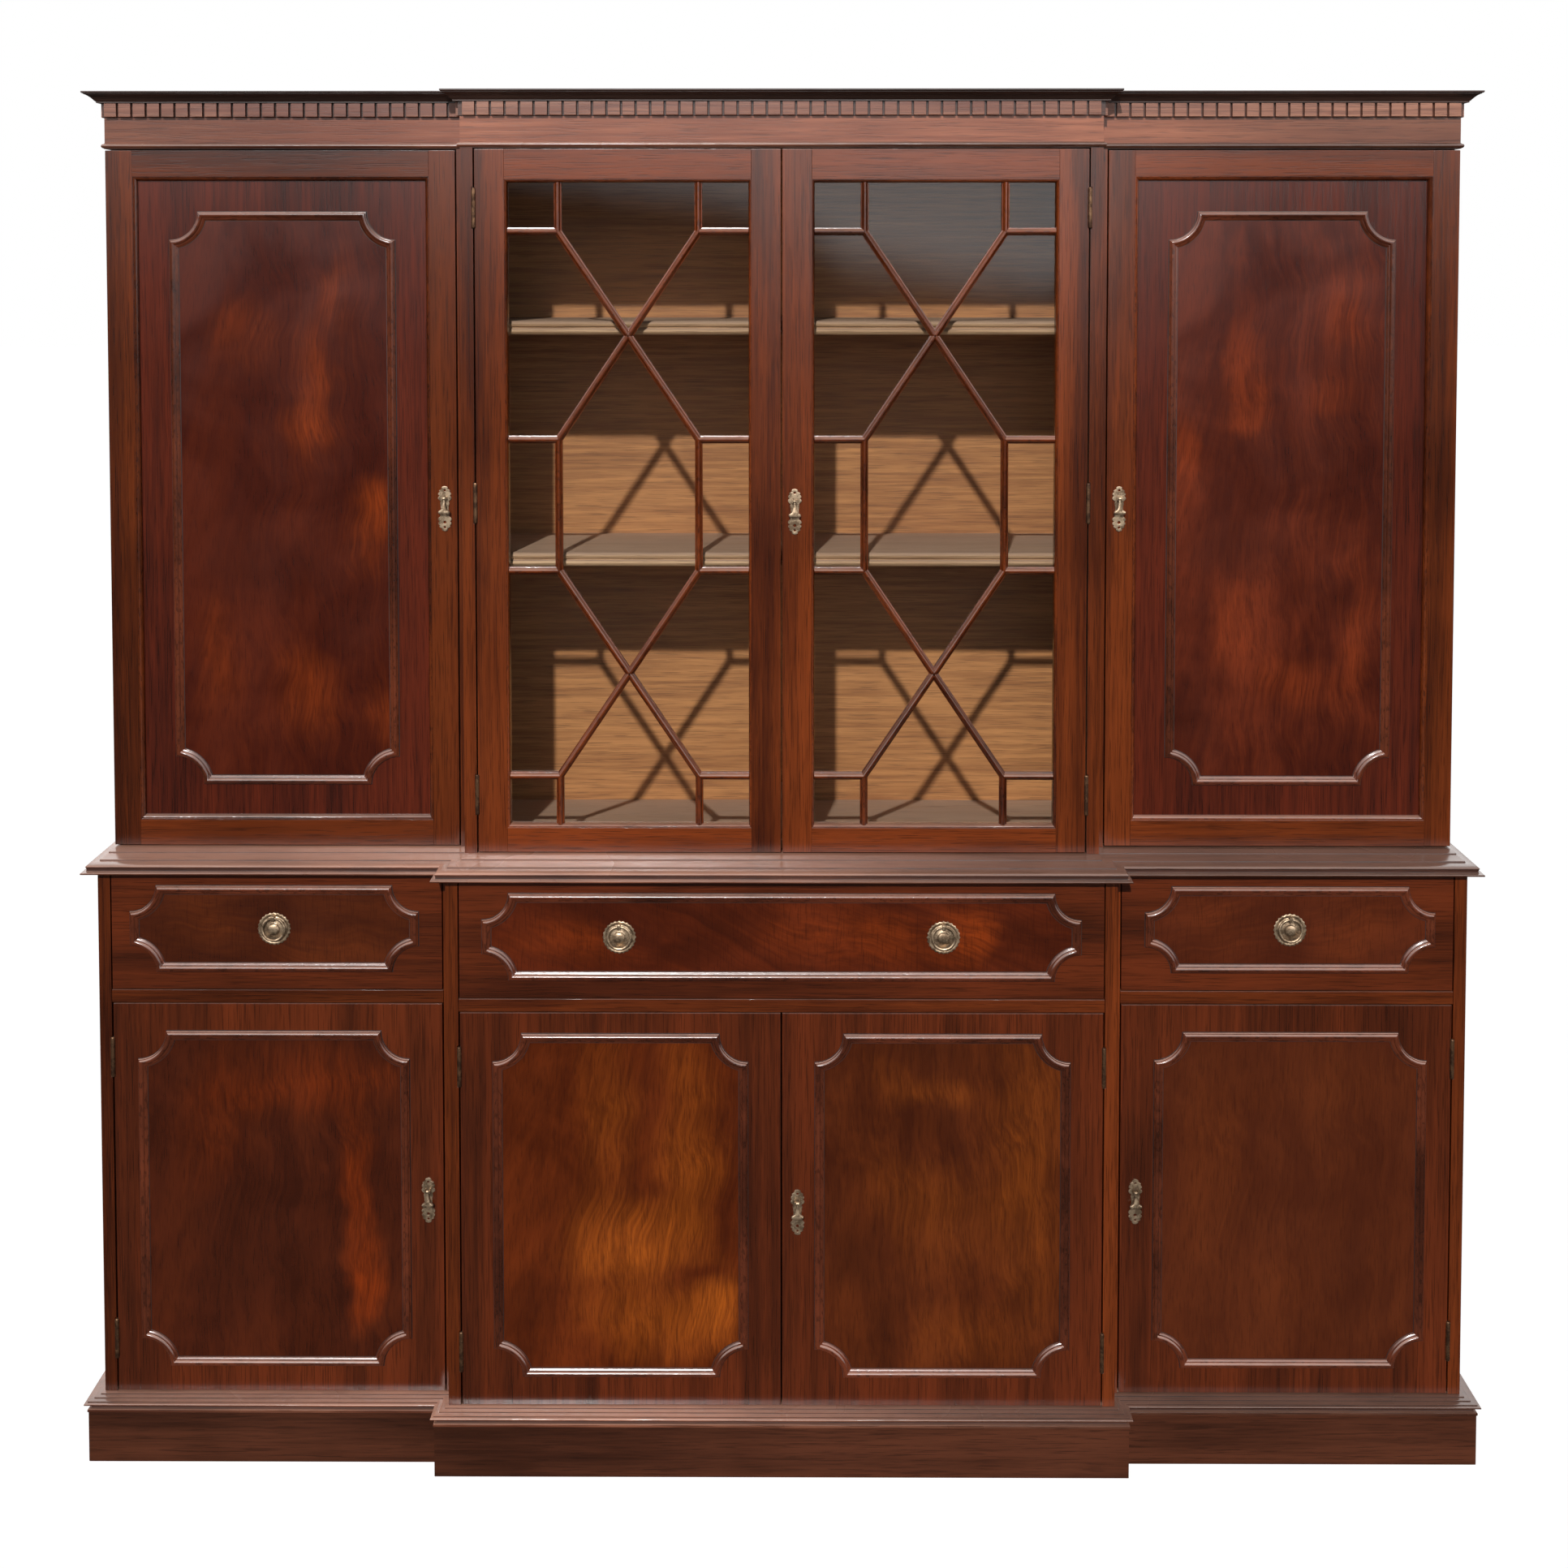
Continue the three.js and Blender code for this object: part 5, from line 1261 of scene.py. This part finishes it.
class BOOKCASE_OT_key_plates(Maker, bpy.types.Operator):
    """Makes the six pierced key plates, each with its drop pull"""

    bl_idname = "bookcase.key_plates"
    bl_label = "Key plates"

    # The holes: their height as a share of the plate's, their radius, and their facets
    holes, hole_steps = ((0.41, 1.7 * MM), (-0.3, 2.2 * MM), (-0.41, 1.7 * MM)), 12
    thick, plate_edge = 1.6 * MM, 0.5 * MM
    # The two ears that hold the drop: inner and outer reach, depth, half height, eased edge
    ear_inner, ear_outer, ear_deep, ear_half, ear_edge = (
        2.3 * MM, 3.9 * MM, 2.2 * MM, 2.4 * MM, 0.4 * MM)
    # The drop: its length, how square its sections are, and its facets
    drop, squareness, drop_steps = 23 * MM, 0.7, 20
    # The barrel that the drop turns on: half its width, and its radius there and where it's full
    pin = ((1.9 * MM, 2.5 * MM), (1.6 * MM, 2.7 * MM))

    def make(self, sizes):
        for case in ("upper", "base"):
            for place in ("left", "centre", "right"):
                key = f"{case}_{place}"
                low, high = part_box(f"escutcheon_{key}")
                centre = (low + high) / 2
                if place != "centre":
                    body = f"{case}_wing_leaf_{place}"
                else:
                    body = "glazed_leaf_right" if case == "upper" else "base_centre_leaf_right"
                joint = JOINTS[f"drop_{key}_pivot"]["pos_m"]
                self.plate(sizes, key, body, Vector((centre.x, high.y, centre.z)), joint)
                self.pull(key, joint)

    def plate(self, sizes, key, body, centre, joint):
        """The pierced plate, with two ears for its drop"""
        bm = bmesh.new()
        half = [(out * sizes.plate, up * sizes.plate) for out, up in PLATE_SHARES]
        half += [(out, -up) for out, up in half[-2::-1]]
        loops = [half + [(-out, up) for out, up in half[-2:0:-1]]] + [
            [(x, up * sizes.plate + y) for x, y in circle(radius, self.hole_steps)]
            for up, radius in self.holes]
        edges = []
        for loop in loops:
            verts = [bm.verts.new((x, y, 0)) for x, y in loop]
            edges += [bm.edges.new(pair) for pair in zip(verts, verts[1:] + verts[:1])]
        bmesh.ops.triangle_fill(bm, edges=edges, use_beauty=True)
        lifted = bmesh.ops.extrude_face_region(bm, geom=bm.faces[:], use_keep_orig=True)["geom"]
        bmesh.ops.translate(bm, vec=(0, 0, self.thick),
                            verts=[v for v in lifted if isinstance(v, bmesh.types.BMVert)])
        bmesh.ops.recalc_face_normals(bm, faces=bm.faces)
        ease(bm, [e for e in bm.edges if e.is_manifold and e.calc_face_angle(0) > RIM
                  and all(v.co.z > self.thick / 2 for v in e.verts)], self.plate_edge)
        bmesh.ops.transform(bm, matrix=outward(*centre), verts=bm.verts)
        x, y, z = joint
        for way in (-1, 1):
            inner, outer = sorted((x + way * self.ear_inner, x + way * self.ear_outer))
            block(bm, (inner, y - self.ear_deep, z - self.ear_half),
                  (outer, centre.y - MM, z + self.ear_half), self.ear_edge)
        add_piece(bm, f"key_plate_{key}", body, ["aged_brass"], [f"escutcheon_{key}"])

    def pull(self, key, joint):
        """The drop that hangs between the ears, and its barrel"""
        def squared(value):
            return math.copysign(abs(value) ** self.squareness, value)

        bm = bmesh.new()
        x, y, z = joint
        section = [(squared(right), squared(back)) for right, back in circle(1, self.drop_steps)]
        loft(bm, [[Vector((x + wide * self.drop * right, y + deep * self.drop * back,
                           z - down * self.drop)) for right, back in section]
                  for wide, deep, down in DROP_SHARES])
        (end, narrow), (full, radius) = self.pin
        barrel = [(0, -end), (narrow, -end), (radius, -full),
                  (radius, full), (narrow, end), (0, end)]
        turned(bm, barrel, joint, self.drop_steps, Matrix.Rotation(math.pi / 2, 4, "Y"))
        add_piece(bm, f"drop_{key}", f"drop_{key}", ["aged_brass"], [f"drop_pull_{key}"])


# Stage

class BOOKCASE_OT_stage(bpy.types.Operator):
    """Sets up the camera, a white ground and soft studio light"""

    bl_idname = "bookcase.stage"
    bl_label = "Camera and light"
    bl_options = {"REGISTER", "UNDO"}

    # The ground's radius in metres and its facets, its tone to diffuse and to glossy rays, and
    # what the camera sees it give off
    radius, facets, white, dim, glow = 40, 64, (0.5, 0.5, 0.5), (0.08, 0.07, 0.06), 0.68

    def execute(self, context):
        stage = context.scene.bookcase_stage
        self.camera(context.scene, stage)
        self.floor()
        self.key(stage)
        self.world(context.scene, stage)
        context.scene.view_settings.view_transform = "Standard"
        return {"FINISHED"}

    def camera(self, scene, stage):
        camera = bpy.data.objects.new("camera", bpy.data.cameras.new("camera"))
        camera.data.lens = stage.lens
        camera.data.shift_x, camera.data.shift_y = stage.shift
        camera.location = stage.place
        camera.rotation_euler = Euler(stage.tilt)
        scene.collection.objects.link(camera)
        scene.camera = camera

    def floor(self):
        """White ground that shows only the soft shadow of what stands on it. Reflections show it
        nearly black."""
        bm = bmesh.new()
        bmesh.ops.create_circle(bm, cap_ends=True, segments=self.facets, radius=self.radius)
        mesh = bpy.data.meshes.new("ground")
        bm.to_mesh(mesh)
        bm.free()
        ground = bpy.data.objects.new("ground", mesh)
        bpy.context.scene.collection.objects.link(ground)
        shader = Shader("white_ground")
        rays = shader.add("LightPath").outputs
        ground_tone = shader.blend(rays["Is Glossy Ray"], self.white, self.dim)
        shader.done(Base_Color=ground_tone, Roughness=1.0, Specular_IOR_Level=0.0,
                    Emission_Color=(1.0, 1.0, 1.0),
                    Emission_Strength=shader.times(rays["Is Camera Ray"], self.glow))
        mesh.materials.append(shader.material)

    def key(self, stage):
        lamp = bpy.data.lights.new("key", "SUN")
        lamp.energy = stage.key
        lamp.angle = stage.key_spread
        key = bpy.data.objects.new("key", lamp)
        key.rotation_mode = "QUATERNION"
        key.rotation_quaternion = Vector(stage.key_run).to_track_quat("-Z", "Y")
        bpy.context.scene.collection.objects.link(key)

    def world(self, scene, stage):
        """White to the camera and through glass, and soft light all round. Reflections show
        something else: a dark foot, and bright sky above a horizon that rises on the right."""
        world = bpy.data.worlds.new("studio")
        world.use_nodes = True
        made = Nodes(world.node_tree)
        across, _, up = made.split(made.add("TexCoord").outputs["Generated"])
        left = made.spread(across, -0.02, 0.04, 0.03, 0.005)
        right = made.spread(across, 0.14, 0.24, 0, 0.12)
        horizon = made.plus(left, made.times_plus(across, -0.15, right))
        sky = made.spread(made.less(up, horizon), -0.015, 0.03, 0.03, stage.sky)
        rays = made.add("LightPath").outputs
        around = made.times_plus(rays["Is Glossy Ray"], made.less(sky, stage.fill), stage.fill)
        seen = made.math("MAXIMUM", rays["Is Camera Ray"], rays["Is Transmission Ray"])
        background = made.nodes["Background"].inputs
        made.feed(background["Strength"], made.times_plus(seen, made.less(1.0, around), around))
        background["Color"].default_value = (1, 1, 1, 1)
        scene.world = world


class BOOKCASE_PT_panel(bpy.types.Panel):
    """Buttons that make the bookcase piece by piece"""

    bl_label = "Bookcase"
    bl_idname = "BOOKCASE_PT_panel"
    bl_space_type = "VIEW_3D"
    bl_region_type = "UI"
    bl_category = "Bookcase"

    def draw(self, context):
        for group in (context.scene.bookcase_sizes, context.scene.bookcase_colours,
                      context.scene.bookcase_stage):
            box = self.layout.box()
            for name in group.bl_rna.properties.keys():
                if name not in ("rna_type", "name"):
                    box.prop(group, name)
        for operator in OPERATORS:
            self.layout.operator(operator.bl_idname)


OPERATORS = (
    BOOKCASE_OT_plinth, BOOKCASE_OT_base_case, BOOKCASE_OT_upper_case, BOOKCASE_OT_cornice,
    BOOKCASE_OT_panelled_doors, BOOKCASE_OT_glazed_doors, BOOKCASE_OT_cupboard_doors,
    BOOKCASE_OT_drawers, BOOKCASE_OT_writing_drawer, BOOKCASE_OT_hinges, BOOKCASE_OT_ring_pulls,
    BOOKCASE_OT_key_plates, BOOKCASE_OT_stage,
)
GROUPS = {"bookcase_sizes": BookcaseSizes, "bookcase_colours": BookcaseColours,
          "bookcase_stage": BookcaseStage}


def register():
    for item in (*GROUPS.values(), *OPERATORS, BOOKCASE_PT_panel):
        bpy.utils.register_class(item)
    for name, group in GROUPS.items():
        setattr(bpy.types.Scene, name, bpy.props.PointerProperty(type=group))


def unregister():
    for name in GROUPS:
        delattr(bpy.types.Scene, name)
    for item in reversed((*GROUPS.values(), *OPERATORS, BOOKCASE_PT_panel)):
        bpy.utils.unregister_class(item)


def main():
    register()
    for operator in OPERATORS:
        group, name = operator.bl_idname.split(".")
        getattr(getattr(bpy.ops, group), name)()


if __name__ == "__main__":
    main()
